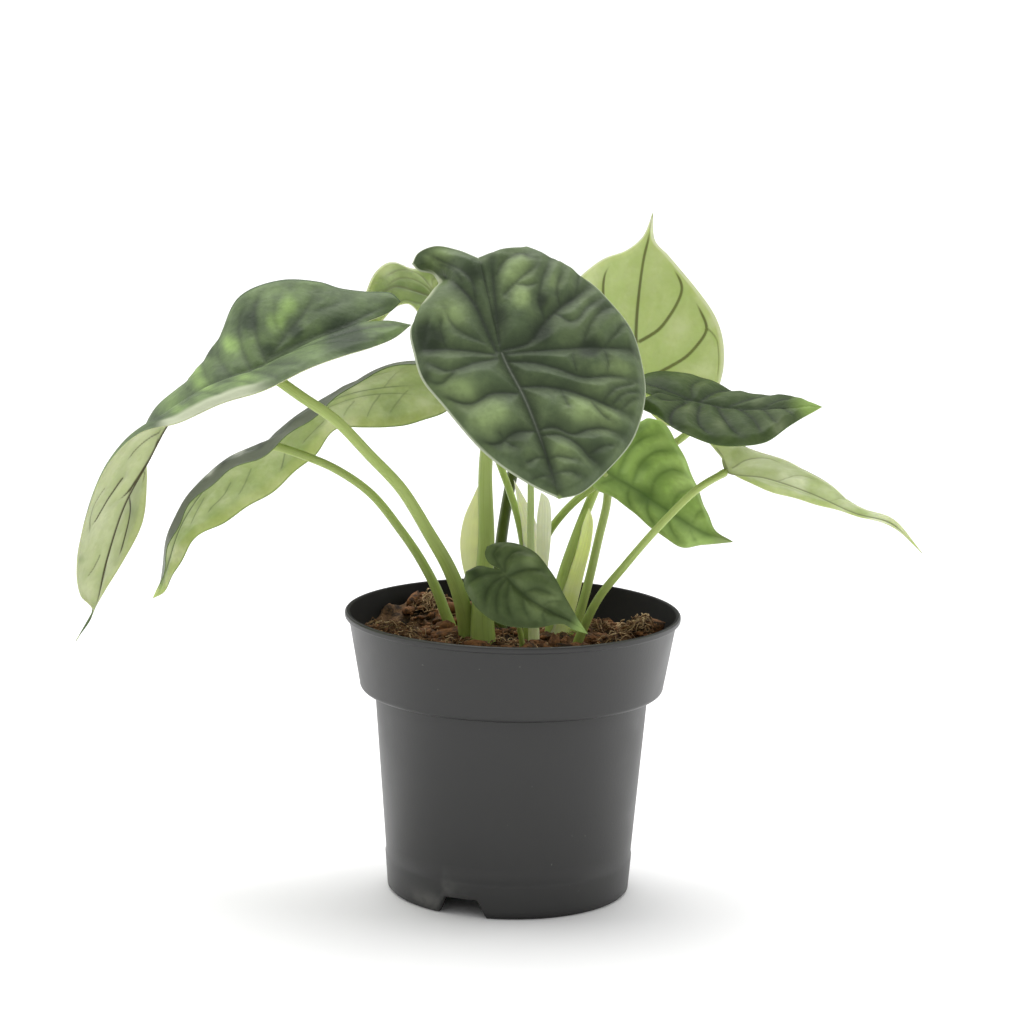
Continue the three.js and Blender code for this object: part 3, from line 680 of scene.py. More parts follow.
@dataclass(frozen=True)
class PlasticFinish:
    """Dark satin moulded plastic with a faint grain, dull scuffs, pale specks and a faint painted highlight
    along the rim's top.
    """

    name: str = "pot_plastic"
    body: Triple = (0.0125, 0.0125, 0.012)
    dull: Triple = (0.018, 0.018, 0.017)
    scuff: Triple = (0.115, 0.115, 0.105)
    gloss: float = 0.55
    roughness: float = 0.38

    def material(self) -> Material:
        """Return the material."""
        graph = Skin(self.name, {"Specular IOR Level": self.gloss})
        cloud, dull = graph.mottle(self.body, self.dull, 18.0, 0.6)
        specks = graph.rescale(graph.noise(graph.place, 420.0, 2.0), 0.735, 0.78)
        spread = graph.rescale(graph.noise(graph.place, 22.0, 2.0), 0.5, 0.7)
        worn = graph.rescale(graph.noise(graph.place, 150.0, 6.0), 0.3, 0.62)
        # The wear value holds the pale scuffs by the notch and a faint painted highlight along the rim's top.
        foot = graph.times(graph.value("wear_and_highlight"), worn)
        mask = graph.maths("MAXIMUM", graph.times(specks, spread), foot)
        colour = graph.painted(cloud, (graph.times(mask, 0.75), self.scuff))
        rough = graph.plus(self.roughness, graph.times(dull, 0.14))
        rough = graph.plus(rough, graph.times(mask, 0.25))
        return graph.finished(colour, rough, graph.grain(1100.0, 0.2), 0.00008, 0.3)


@dataclass(frozen=True)
class EarthFinish:
    """Bark, coir and fibre: brown pieces that differ from one to the next."""

    name: str
    dark: Triple = (0.01, 0.006, 0.003)
    light: Triple = (0.12, 0.062, 0.026)
    pale: Triple = (0.36, 0.23, 0.11)
    scale: float = 300.0
    paleness: float = 0.25

    def material(self) -> Material:
        """Return the material, from noise and each piece's own tone."""
        graph = Skin(self.name, {"Roughness": 0.85, "Specular IOR Level": 0.25})
        cloud, _ = graph.mottle(self.dark, self.light, self.scale, 1.0)
        tone = graph.value("tone")
        pale = graph.rescale(tone, 1.0 - self.paleness, 1.0)
        colour = graph.painted(cloud, (tone, self.light), (pale, self.pale))
        return graph.finished(colour, None, graph.grain(900.0, 0.8), 0.0006, 0.7)


def nearest(points: Array, line: Array) -> tuple[Array, Array]:
    """Measure from many points to a line of short straight stretches.

    Each point is dropped onto every stretch, no further than its ends, and the nearest foot counts.

    Args:
        points: The points, one row each.
        line: The line's points, one row each.

    Returns:
        The distance of each point, and the share along the line where its foot lies.
    """
    start, step = line[:-1], np.diff(line, axis=0)
    long = np.maximum((step**2).sum(axis=1), 1e-12)
    apart = points[:, None, :] - start[None]
    share = np.clip((apart * step[None]).sum(axis=2) / long, 0.0, 1.0)
    gaps = np.linalg.norm(apart - share[..., None] * step[None], axis=2)
    best = gaps.argmin(axis=1)
    rows = np.arange(len(points))
    return gaps[rows, best], (best + share[rows, best]) / len(start)


@dataclass(frozen=True)
class LeafLayout:
    """A blade's rails as chosen in the picture, and the foot and course of its stalk.

    Each place is how far across and down it is, and its depth. The midrib runs from the notch to the
    tip, each edge from a lobe's end to the notch, and each margin, with its ends left out, from the same
    lobe's end to the tip.
    """

    midrib: Numbers
    left_edge: Numbers
    left_margin: Numbers
    right_edge: Numbers
    right_margin: Numbers
    foot: tuple[float, float]
    stalk: Numbers
    stalk_radii: tuple[float, float]
    arch: float = 0.05

    def rails(self, side: Side) -> tuple[Array, Array, Array]:
        """Return one half's lobe edge, midrib and margin, in millimetres."""
        edge = self.right_edge if side is Side.RIGHT else self.left_edge
        margin = self.right_margin if side is Side.RIGHT else self.left_margin
        return (
            PICTURE.seen(edge + self.midrib[:3]),
            PICTURE.seen(self.midrib),
            PICTURE.seen(edge[:3] + margin + self.midrib[-3:]),
        )


LEAVES = {
    "front": LeafLayout(
        midrib=(478, 258, 2, 490, 305, -10, 502, 354, -22, 525, 400, -34, 547, 458, -48, 559, 499, -58),
        left_edge=(412, 264, 3, 418, 253, 6, 435, 246, 8, 458, 250, 6),
        left_margin=(419, 271, 5, 434, 275, 9, 441, 287, 7, 428, 307, -6, 411, 330, -14, 414, 356, -22,
            423, 382, -30, 442, 405, -36, 484, 453, -47, 528, 484, -53),
        right_edge=(515, 252, 10, 495, 252, 7),
        right_margin=(555, 266, 8, 600, 291, 2, 632, 333, -8, 645, 382, -20, 636, 434, -35, 608, 470, -47,
            580, 494, -55),
        stalk=(482, 602, -3, 486, 541, 4, 485, 471, 6, 491, 411, -3, 501, 354, -22),
        foot=(-10, -6), stalk_radii=(5.0, 2.4), arch=0.07,
    ),
    "left_upper": LeafLayout(
        midrib=(366, 322, -4, 315, 342, -12, 262, 368, -20, 203, 391, -22, 172, 418, -20, 147, 462, -16,
            124, 505, -12, 106, 560, -8, 94, 610, -6, 76, 641, -6),
        left_edge=(401, 302, 7, 390, 312, 3),
        left_margin=(391, 293, 10, 365, 292, 12, 340, 289, 12, 318, 282, 12, 280, 280, 12, 240, 297, 10,
            218, 340, 8, 190, 382, 6, 158, 410, 8, 145, 440, 12, 147, 480, 16, 143, 520, 16, 122, 562, 8,
            96, 606, -4),
        right_edge=(411, 325, -4, 390, 321, -2),
        right_margin=(396, 337, -13, 372, 347, -24, 345, 356, -36, 305, 370, -46, 262, 391, -50,
            222, 404, -50, 180, 422, -50, 140, 433, -50, 108, 466, -47, 85, 520, -42, 78, 560, -36,
            80, 595, -20, 93, 613, -7),
        stalk=(463, 607, -2, 449, 569, -8, 429, 534, -12, 401, 489, -17, 370, 456, -20, 335, 420, -23,
            300, 396, -24, 261, 368, -20),
        foot=(-15, 3), stalk_radii=(3.6, 2.0),
    ),
    "left_lower": LeafLayout(
        midrib=(434, 386, 9, 410, 388, 10, 383, 390, 12, 345, 398, 16, 310, 416, 15, 268, 444, 14,
            235, 459, 15, 205, 487, 16, 180, 525, 18, 168, 560, 19, 160, 592, 20, 153, 598, 20),
        left_edge=(458, 402, 10, 446, 392, 9),
        left_margin=(442, 414, 13, 420, 421, 17, 385, 428, 22, 340, 428, 28, 312, 457, 32, 270, 493, 34,
            225, 521, 34, 192, 542, 32, 176, 570, 26, 164, 592, 22),
        right_edge=(450, 364, -4, 441, 376, 2),
        right_margin=(420, 363, -5, 400, 366, -6, 366, 377, -6, 335, 400, -5, 300, 427, -5, 262, 456, -4,
            225, 474, -2, 192, 503, 2, 172, 538, 8, 162, 578, 15),
        stalk=(446, 615, 12, 436, 589, 13, 420, 559, 14, 401, 531, 15, 371, 494, 16, 335, 469, 16,
            299, 454, 16, 268, 444, 14),
        foot=(-19, 12), stalk_radii=(2.3, 1.6),
    ),
    "upright": LeafLayout(
        midrib=(645, 408, 44, 638, 385, 46, 636, 330, 50, 643, 262, 54, 649, 236, 55, 653, 212, 56),
        left_edge=(605, 428, 36, 628, 420, 41),
        left_margin=(580, 391, 35, 568, 341, 37, 570, 290, 42, 600, 261, 47, 628, 249, 52, 643, 236, 55),
        right_edge=(690, 425, 38, 665, 425, 41),
        right_margin=(712, 400, 38, 724, 365, 40, 718, 322, 43, 695, 287, 47, 668, 255, 52, 655, 240, 55),
        stalk=(560, 586, 14, 575, 539, 20, 601, 474, 32, 623, 419, 42, 638, 385, 46),
        foot=(13, 8), stalk_radii=(2.8, 1.8), arch=0.04,
    ),
    "right_upper": LeafLayout(
        midrib=(653, 396, -3, 670, 399, -3, 688, 402, -2, 735, 411, -3, 780, 410, -4, 822, 407, -4),
        left_edge=(636, 402, -12, 645, 398, -7),
        left_margin=(641, 408, -15, 658, 417, -21, 685, 434, -30, 725, 446, -32, 765, 442, -28,
            792, 424, -16, 810, 414, -8),
        right_edge=(626, 387, 10, 641, 391, 2),
        right_margin=(655, 378, 20, 690, 380, 25, 735, 393, 23, 775, 401, 14, 802, 400, 4),
        stalk=(536, 570, 22, 545, 539, 25, 564, 512, 25, 590, 489, 24, 640, 460, 24, 671, 445, 22,
            690, 430, 14, 691, 417, 4, 688, 402, -2),
        foot=(6, 14), stalk_radii=(1.9, 1.4),
    ),
    "right_middle": LeafLayout(
        midrib=(598, 458, 4, 606, 470, 2, 640, 492, -3, 672, 514, -6, 708, 535, -6, 733, 542, -6),
        left_edge=(585, 470, 8, 588, 462, 6),
        left_margin=(595, 488, 6, 618, 500, 2, 652, 528, -1, 682, 547, -3, 703, 545, -5),
        right_edge=(640, 424, 20, 615, 438, 11),
        right_margin=(659, 420, 20, 678, 445, 17, 694, 480, 11, 706, 510, 3, 716, 531, -3),
        stalk=(589, 579, 8, 598, 540, 9, 607, 500, 8, 606, 470, 2),
        foot=(20, 5), stalk_radii=(2.0, 1.6),
    ),
    "right_far": LeafLayout(
        midrib=(722, 458, -10, 727, 471, -8, 765, 477, -6, 810, 492, -4, 855, 512, 0, 892, 523, 2,
            922, 553, 4),
        left_edge=(700, 432, -20, 712, 446, -15),
        left_margin=(722, 440, -22, 748, 448, -24, 790, 463, -22, 828, 484, -16, 860, 508, -7, 893, 519, 0),
        right_edge=(724, 455, 8, 722, 455, 0),
        right_margin=(734, 474, 13, 770, 491, 12, 812, 503, 10, 850, 514, 7, 892, 527, 3),
        stalk=(596, 602, -17, 625, 565, -20, 661, 524, -21, 696, 490, -19, 727, 471, -8),
        foot=(20, -11), stalk_radii=(1.9, 1.4),
    ),
    "small_front": LeafLayout(
        midrib=(499, 569, -34, 506, 577, -36, 528, 598, -42, 552, 612, -46, 572, 622, -47, 588, 634, -47),
        left_edge=(468, 571, -28, 479, 566, -31, 491, 568, -34),
        left_margin=(464, 580, -31, 467, 593, -35, 478, 609, -40, 500, 624, -45, 535, 628, -48,
            562, 624, -48, 574, 630, -48),
        right_edge=(487, 547, -26, 485, 554, -28, 489, 563, -31),
        right_margin=(497, 543, -26, 512, 543, -28, 533, 551, -33, 552, 573, -39, 567, 600, -45,
            578, 619, -47),
        stalk=(521, 637, -22, 513, 603, -26, 505, 577, -36),
        foot=(4, -17), stalk_radii=(1.2, 0.9), arch=0.06,
    ),
    "back": LeafLayout(
        midrib=(531, 369, 40, 531, 384, 44, 528, 405, 52, 524, 429, 58, 519, 447, 60),
        left_edge=(543, 338, 29, 537, 353, 34),
        left_margin=(556, 356, 34, 564, 384, 47, 557, 410, 55, 540, 434, 59),
        right_edge=(510, 337, 29, 523, 352, 34),
        right_margin=(482, 357, 35, 471, 379, 46, 484, 409, 54, 508, 431, 59),
        stalk=(497, 600, 20, 500, 549, 24, 507, 501, 30, 519, 441, 36, 531, 384, 44),
        foot=(-3, 16), stalk_radii=(2.6, 2.1), arch=0.06,
    ),
    "back_left": LeafLayout(
        midrib=(450, 300, 22, 438, 298, 24, 415, 290, 28, 393, 286, 34, 372, 304, 42, 358, 330, 46,
            350, 350, 46),
        left_edge=(452, 325, 30, 453, 312, 26),
        left_margin=(425, 320, 34, 409, 304, 38, 395, 308, 42, 378, 326, 47, 362, 342, 48),
        right_edge=(452, 262, 16, 455, 280, 18),
        right_margin=(432, 268, 16, 412, 269, 18, 395, 262, 22, 377, 270, 30, 366, 292, 38, 356, 322, 44),
        stalk=(525, 561, 8, 518, 519, 10, 507, 484, 13, 491, 441, 18, 462, 349, 24, 438, 298, 24),
        foot=(6, 4), stalk_radii=(1.8, 1.3),
    ),
}


@dataclass
class HalfBlade:
    """One half of a blade as a grid of points, from the lobe's end down to the tip.

    Its rows run from the inner rail, which is the lobe's edge and then the midrib, out to the margin.
    Both halves of a blade take the same numbers of rows, so that they meet along the midrib.
    """

    layout: LeafLayout
    side: Side
    step: float
    rows: tuple[int, int] = (0, 0)

    def __post_init__(self) -> None:
        """Work out the grid.

        A point is start + s(end - start) + 4s(1 - s) arch width n, where start lies on the inner rail,
        end at the same share of the margin, and n across both, towards the upper side.
        """
        edge, midrib, margin = self.layout.rails(self.side)
        measured = curve_at(edge, steps(60)), curve_at(midrib, steps(200))
        self.lobe_rows, self.blade_rows = (
            wanted or max(int(length_of(line) / self.step), 12)
            for wanted, line in zip(self.rows, measured)
        )
        lobe, spine = steps(self.lobe_rows + 1), steps(self.blade_rows + 1)
        share = length_of(measured[0]) / sum(length_of(line) for line in measured)
        self.notch_share = share
        self.shares = np.concatenate([share * lobe[:-1], share + (1 - share) * spine])
        self.inner = np.vstack([curve_at(edge, lobe)[:-1], curve_at(midrib, spine)])
        across = curve_at(margin, self.shares) - self.inner
        self.widths = np.linalg.norm(across, axis=1)
        along = np.gradient(self.inner, axis=0)
        along[self.lobe_rows] = along[self.lobe_rows - 1] + along[self.lobe_rows + 1]
        rise = unit(np.cross(along, across)) * (self.side.value * self.layout.arch)
        rise = rise * self.widths[:, None]
        columns = max(int(self.widths.max() / self.step), 14)
        self.stations = np.concatenate([np.linspace(0.0, 0.97, columns), [0.983, 0.993, 1.0]])
        s = self.stations[None, :, None]
        self.grid = self.inner[:, None] + s * across[:, None] + 4 * s * (1 - s) * rise[:, None]

    def at(self, shares: Array, stations: Array) -> Array:
        """Return the surface's points at places along and across it, between its grid's points."""
        rows = np.interp(shares, self.shares, np.arange(len(self.shares)))
        columns = np.interp(stations, self.stations, np.arange(len(self.stations)))
        i = np.minimum(rows.astype(int), len(self.shares) - 2)
        j = np.minimum(columns.astype(int), len(self.stations) - 2)
        u, v = (rows - i)[..., None], (columns - j)[..., None]
        near = self.grid[i, j] * (1 - v) + self.grid[i, j + 1] * v
        far = self.grid[i + 1, j] * (1 - v) + self.grid[i + 1, j + 1] * v
        return near * (1 - u) + far * u

    def traced(self, places: Array) -> Array:
        """Lay a vein that is drawn in the picture onto the surface.

        Each place takes the grid's point with the least squared gap in the picture plus a share of the
        depth, and the line is then evened, each point towards the mean of its neighbours.

        Args:
            places: The places that the vein passes in the picture.

        Returns:
            Its points in space.
        """
        drawn = drawn_line(places, 36)
        surface = self.grid.reshape(-1, 3)
        shown = PICTURE.shown(surface)
        cost = ((drawn[:, None] - shown[None]) ** 2).sum(axis=2) + 0.2 * surface[None, :, 1]
        line = surface[cost.argmin(axis=1)]
        for _ in range(8):
            line[1:-1] = 0.25 * line[:-2] + 0.5 * line[1:-1] + 0.25 * line[2:]
        return line

    def normals(self) -> Array:
        """Return the unit directions out of the upper side, one at each grid point."""
        down = np.gradient(self.grid, axis=0)
        out = np.gradient(self.grid, axis=1)
        normal = unit(np.cross(down, out)) * self.side.value
        normal[:2] = normal[2]
        normal[-2:] = normal[-3]
        return normal


# Each vein is its strength, 1 for a rib and 0 for nothing, and the places that it passes in the picture
VEINS: dict[tuple[str, Side], tuple[tuple[float, ...], ...]] = {
    ("front", Side.RIGHT): (
        (1.0, 505, 350, 530, 343, 545, 322, 560, 308, 575, 298, 591, 286),
        (0.8, 504, 354, 530, 352, 560, 350, 590, 348, 612, 349, 630, 350, 639, 358),
        (0.8, 508, 362, 540, 364, 565, 372, 585, 379, 610, 376, 636, 384),
        (0.9, 518, 388, 545, 387, 572, 392, 600, 402, 618, 411, 630, 417),
        (0.8, 537, 431, 555, 427, 572, 436, 588, 430, 605, 429, 622, 438),
        (0.7, 541, 436, 562, 436, 580, 447, 592, 461, 603, 468), (0.5, 547, 459, 562, 458, 578, 462),
        (0.4, 552, 475, 568, 473, 582, 479), (0.55, 545, 321, 539, 302, 541, 284, 549, 264),
        (0.5, 560, 307, 556, 292, 561, 274), (0.45, 575, 298, 577, 288, 577, 276),
        (0.55, 556, 314, 572, 325, 586, 310, 601, 300), (0.5, 583, 344, 590, 325, 604, 312, 618, 309),
        (0.5, 603, 349, 612, 338, 624, 326, 633, 331), (0.4, 572, 354, 574, 365, 577, 376),
        (0.4, 604, 352, 607, 366, 606, 375), (0.5, 602, 402, 613, 391, 638, 384),
        (0.5, 611, 406, 622, 396, 640, 394), (0.45, 620, 411, 630, 402, 641, 400),
        (0.4, 562, 392, 566, 404, 570, 412), (0.4, 592, 404, 600, 415, 612, 424),
        (0.45, 590, 455, 601, 448, 614, 447), (0.8, 499, 345, 497, 318, 494, 290, 492, 262),
        (0.5, 505, 295, 520, 281, 536, 270), (0.45, 497, 276, 505, 262, 520, 258, 535, 264),
        (0.4, 512, 286, 530, 288, 540, 285),
    ),
    ("front", Side.LEFT): (
        (1.0, 496, 352, 484, 325, 474, 303, 458, 286, 438, 273, 420, 264),
        (0.6, 476, 305, 471, 280, 455, 268, 440, 259, 426, 252), (0.45, 462, 282, 455, 272, 438, 262),
        (0.7, 495, 356, 470, 352, 440, 350, 416, 352),
        (0.6, 497, 360, 470, 366, 448, 374, 434, 368, 422, 364), (0.5, 455, 374, 440, 385, 427, 381),
        (0.8, 517, 394, 492, 394, 470, 405, 455, 401, 437, 395),
        (0.8, 536, 432, 515, 433, 496, 445, 478, 440), (0.5, 546, 458, 534, 460, 524, 466),
        (0.4, 551, 477, 540, 478, 530, 481), (0.45, 447, 350, 441, 335, 443, 318),
        (0.4, 425, 350, 427, 335, 430, 322), (0.4, 484, 345, 455, 330, 445, 312),
        (0.4, 500, 434, 508, 444, 518, 450),
    ),
    ("left_upper", Side.LEFT): (
        (1.0, 266, 362, 257, 338, 254, 312, 263, 290), (0.9, 268, 360, 286, 336, 304, 314, 316, 294),
        (1.0, 272, 358, 308, 340, 345, 326, 375, 311, 394, 303),
        (0.8, 252, 372, 243, 350, 240, 322, 250, 302), (0.6, 232, 380, 220, 358, 222, 330, 232, 308),
        (0.6, 213, 388, 205, 370, 208, 348, 216, 335), (0.5, 195, 396, 186, 385, 190, 374),
        (0.4, 305, 313, 325, 310, 345, 302), (0.35, 284, 338, 275, 322, 276, 300),
        (0.8, 129, 488, 130, 510, 126, 530, 121, 548, 116, 563), (0.5, 152, 452, 146, 470, 143, 488),
        (0.4, 108, 552, 106, 568, 102, 586),
    ),
    ("left_upper", Side.RIGHT): (
        (1.0, 268, 362, 300, 350, 335, 337, 370, 328, 404, 325),
        (0.5, 310, 346, 340, 344, 372, 341, 394, 336), (0.6, 262, 368, 285, 366, 305, 366),
        (0.6, 250, 373, 268, 376, 284, 382), (0.5, 225, 384, 245, 384, 262, 388),
        (0.5, 200, 394, 215, 396, 228, 398),
        (1.0, 190, 423, 171, 435, 155, 453, 139, 474, 123, 497, 108, 506),
        (0.9, 121, 478, 112, 491, 103, 505, 96, 518, 88, 530), (0.5, 105, 489, 96, 503, 90, 519, 90, 540),
        (0.6, 176, 425, 155, 434, 138, 448, 122, 468), (0.5, 100, 556, 94, 568, 86, 580),
    ),
    ("left_lower", Side.LEFT): (
        (0.5, 232, 484, 225, 497, 212, 510, 206, 521), (0.55, 287, 447, 285, 461, 281, 476),
        (0.5, 205, 499, 197, 514, 190, 532), (0.45, 252, 470, 246, 486, 236, 503),
        (0.45, 325, 424, 312, 436, 300, 450), (0.4, 354, 404, 347, 412, 342, 422),
        (0.45, 379, 398, 370, 410, 364, 424), (0.4, 407, 393, 396, 405, 386, 420),
        (0.5, 270, 446, 320, 415, 365, 398, 410, 396, 436, 404), (0.5, 171, 558, 168, 566, 167, 574),
    ),
    ("left_lower", Side.RIGHT): (
        (0.6, 268, 443, 283, 437, 302, 427), (0.5, 240, 460, 250, 455, 262, 452),
        (0.4, 208, 485, 220, 477, 232, 470), (0.5, 272, 441, 320, 408, 365, 382, 415, 370),
        (0.4, 345, 397, 352, 391, 362, 384), (0.4, 385, 389, 392, 381, 402, 372),
    ),
    ("upright", Side.RIGHT): (
        (0.95, 640, 341, 655, 333, 667, 320, 677, 304, 683, 286, 678, 275, 668, 262),
        (0.95, 648, 379, 668, 368, 686, 357, 700, 342, 709, 329, 704, 317, 690, 292),
        (0.5, 709, 329, 716, 338, 719, 352, 717, 385), (0.8, 645, 385, 668, 393, 690, 408, 696, 420),
        (0.6, 650, 387, 680, 384, 706, 380),
    ),
    ("upright", Side.LEFT): (
        (0.95, 637, 372, 618, 345, 605, 315, 603, 290, 605, 270, 618, 258),
        (0.8, 637, 380, 605, 372, 585, 345, 580, 318), (0.8, 635, 386, 618, 396, 602, 412, 598, 424),
        (0.6, 633, 385, 608, 386, 588, 388),
    ),
    ("right_upper", Side.LEFT): (
        (0.9, 685, 404, 673, 412, 671, 424, 679, 432), (0.8, 700, 408, 697, 422, 711, 438),
        (0.8, 718, 410, 727, 424, 741, 440), (0.6, 740, 412, 755, 425, 763, 438),
        (0.5, 762, 411, 770, 420, 778, 430), (0.4, 783, 411, 788, 415, 794, 420),
        (0.6, 684, 402, 668, 403, 655, 402),
    ),
    ("right_upper", Side.RIGHT): (
        (0.8, 690, 401, 672, 394, 652, 387, 640, 386), (0.7, 700, 403, 715, 394, 735, 393, 752, 397),
        (0.6, 730, 408, 750, 403, 766, 401), (0.5, 765, 409, 780, 404, 795, 402),
        (0.5, 692, 399, 690, 390, 700, 384),
    ),
    ("right_middle", Side.RIGHT): (
        (0.9, 608, 470, 613, 450, 628, 435, 644, 427), (0.8, 618, 477, 624, 458, 640, 440, 658, 434),
        (0.8, 632, 486, 640, 465, 655, 452, 674, 452), (0.7, 650, 497, 655, 480, 670, 470, 685, 475),
        (0.6, 672, 511, 676, 497, 690, 490), (0.5, 692, 523, 697, 514, 702, 513),
    ),
    ("right_middle", Side.LEFT): (
        (0.7, 616, 478, 608, 481, 600, 484), (0.8, 630, 487, 628, 496, 632, 508),
        (0.8, 648, 498, 648, 512, 657, 527), (0.7, 668, 512, 670, 526, 680, 541),
        (0.5, 690, 525, 692, 534, 698, 542),
    ),
    ("right_far", Side.RIGHT): (
        (0.7, 735, 473, 765, 477, 790, 482, 815, 497), (0.4, 775, 485, 800, 492, 828, 500),
        (0.4, 840, 508, 856, 512, 872, 518),
    ),
    ("right_far", Side.LEFT): (
        (0.8, 727, 468, 722, 455, 714, 444), (0.7, 733, 468, 748, 459, 768, 458, 788, 467),
        (0.5, 780, 480, 800, 476, 820, 484), (0.4, 830, 500, 845, 500, 858, 508),
    ),
    ("small_front", Side.RIGHT): (
        (0.9, 503, 571, 497, 562, 494, 553, 500, 547), (0.9, 505, 572, 506, 560, 514, 552, 526, 551),
        (1.0, 509, 576, 520, 571, 534, 569, 545, 571), (0.6, 524, 593, 536, 589, 546, 592, 556, 597),
        (0.4, 544, 606, 550, 602, 562, 602),
    ),
    ("small_front", Side.LEFT): (
        (0.9, 502, 573, 490, 573, 478, 577, 469, 584), (1.0, 504, 576, 492, 584, 486, 594, 486, 606),
        (0.9, 507, 579, 499, 590, 496, 603, 499, 618), (0.8, 510, 582, 507, 596, 509, 610, 514, 622),
        (0.6, 524, 594, 524, 607, 530, 620), (0.4, 545, 609, 543, 616, 546, 623),
    ),
    ("back", Side.RIGHT): (
        (0.9, 530, 382, 520, 362, 512, 345), (0.8, 530, 387, 505, 372, 486, 368),
        (0.8, 529, 400, 508, 392, 484, 396), (0.6, 526, 418, 512, 414, 500, 418),
    ),
    ("back", Side.LEFT): (
        (0.9, 532, 382, 539, 362, 544, 346), (0.8, 532, 387, 546, 376, 556, 368),
        (0.8, 530, 400, 545, 395, 556, 398), (0.6, 526, 418, 538, 415, 546, 420),
    ),
    ("back_left", Side.RIGHT): (
        (0.9, 436, 295, 420, 281, 400, 277, 382, 290), (0.8, 436, 293, 420, 274, 400, 269, 378, 281),
        (0.6, 438, 292, 432, 282, 440, 272), (0.5, 390, 287, 378, 291, 370, 300),
    ),
    ("back_left", Side.LEFT): (
        (0.9, 434, 300, 420, 303, 406, 299, 392, 304), (0.7, 436, 302, 440, 310, 448, 318),
        (0.5, 392, 292, 384, 306, 372, 326),
    ),
}

# Painted light: each spot is a place in the picture, a radius and an amount. A positive amount is a painted
# highlight and a negative one is painted shade, laid where a leaf is lit or shaded, partly along the leaf's
# own lighter and darker patches.
PAINTED_LIGHT: dict[str, tuple[tuple[float, float, float, float], ...]] = {
    "front": (
        (488, 417, 22, 1.0), (516, 407, 8, -0.5), (579, 410, 18, 0.8), (604, 421, 17, 0.9),
        (452, 318, 17, 0.9), (521, 301, 12, 0.9), (554, 287, 9, 0.6), (582, 303, 9, 0.5), (617, 371, 17, 0.9),
        (594, 369, 10, 0.4), (515, 273, 16, 1.1), (441, 258, 12, 1.0), (428, 262, 8, 0.8),
        (466, 292, 11, 0.4), (456, 394, 16, 0.9), (466, 401, 9, 0.5), (560, 343, 12, 0.3),
        (462, 372, 9, -0.5), (446, 280, 7, 0.6), (480, 262, 7, 0.6), (570, 300, 7, -0.7), (562, 454, 14, 0.7),
        (563, 480, 12, 0.3), (620, 322, 8, 0.4), (630, 400, 9, 0.3), (430, 340, 17, -1.3),
        (474, 276, 12, -0.9), (500, 318, 13, -0.8), (541, 303, 8, -1.0), (543, 335, 13, -1.0),
        (590, 351, 13, -1.2), (515, 438, 14, -0.7), (592, 452, 11, -0.5), (426, 378, 9, -0.7),
        (628, 355, 12, -0.8), (600, 310, 10, -0.5), (540, 385, 12, -0.4),
    ),
    "left_upper": (
        (277, 324, 11, 1.0), (290, 308, 10, 0.8), (234, 346, 10, 1.0), (226, 312, 10, 0.3),
        (198, 368, 8, 0.7), (317, 299, 12, -0.5), (255, 340, 6, 0.5), (360, 310, 14, 0.4),
        (328, 355, 12, -0.3), (205, 386, 10, 0.9), (178, 412, 12, 0.5), (245, 383, 12, 0.5),
        (250, 322, 10, -1.3), (268, 350, 8, -0.9), (296, 332, 9, -1.0), (345, 334, 20, -1.4),
        (385, 312, 12, -0.4), (158, 420, 11, -0.7), (211, 353, 9, -0.9), (192, 405, 9, -0.6),
        (205, 330, 8, -0.4), (103, 522, 16, 0.5), (112, 565, 16, 0.4), (132, 512, 9, -0.7),
        (128, 478, 12, -0.3), (88, 590, 12, 0.5), (100, 490, 12, 0.3), (83, 560, 5, -0.8),
    ),
    "left_lower": (
        (390, 411, 15, -0.6), (360, 396, 12, 0.5), (345, 420, 14, 0.9), (330, 432, 10, 0.8),
        (400, 381, 12, 0.2), (300, 452, 12, -0.4), (241, 456, 7, 1.2), (214, 477, 6, 0.8),
        (262, 447, 5, -1.0), (228, 468, 4, -1.0), (300, 425, 8, -0.5), (195, 492, 5, -0.7),
        (282, 480, 12, 0.4), (255, 486, 12, -0.3), (228, 505, 12, 0.5), (200, 522, 12, 0.4),
        (176, 555, 12, 0.9), (168, 580, 9, 0.6), (425, 405, 10, 0.4),
    ),
    "upright": (
        (722, 352, 10, 1.0), (715, 320, 9, 0.8), (702, 296, 9, 0.7), (706, 370, 12, 0.6), (678, 325, 12, 0.5),
        (592, 277, 14, 0.7), (684, 376, 12, 0.5), (660, 300, 12, -0.4), (640, 300, 10, -0.5),
        (648, 250, 10, -0.4), (695, 345, 9, -0.4), (620, 300, 10, -0.3),
    ),
    "right_upper": (
        (690, 414, 10, 0.5), (721, 428, 9, 0.7), (757, 408, 10, 0.4), (780, 431, 8, 0.9), (740, 400, 8, 0.3),
        (660, 389, 14, -0.6), (678, 428, 9, -0.6), (748, 425, 9, -0.5), (705, 399, 8, -0.5),
    ),
    "right_middle": (
        (682, 486, 12, 1.0), (676, 465, 9, 0.6), (660, 442, 11, 0.7), (692, 527, 12, 0.7), (703, 505, 8, 0.6),
        (646, 497, 11, -0.8), (638, 435, 9, -0.6), (645, 466, 9, -0.6), (668, 505, 8, -0.4),
        (660, 520, 9, -0.3),
    ),
    "right_far": (
        (740, 453, 12, -0.6), (786, 476, 12, 0.6), (800, 486, 10, 0.8), (845, 510, 12, 0.5),
        (880, 519, 14, 1.0), (905, 533, 12, 1.0), (765, 485, 10, 0.2),
    ),
    "small_front": (
        (504, 576, 4, 0.9), (532, 562, 9, 0.8), (538, 606, 11, 0.9), (555, 598, 8, 0.8), (519, 585, 7, 0.5),
        (506, 602, 5, 0.4), (476, 574, 6, -0.9), (487, 592, 6, -0.4), (499, 556, 5, -0.7),
        (514, 558, 4, -0.4),
    ),
    "back_left": (
        (420, 292, 12, -0.8), (432, 284, 6, 0.9), (388, 272, 9, 0.5), (400, 285, 7, -0.8), (415, 268, 7, 0.5),
    ),
}

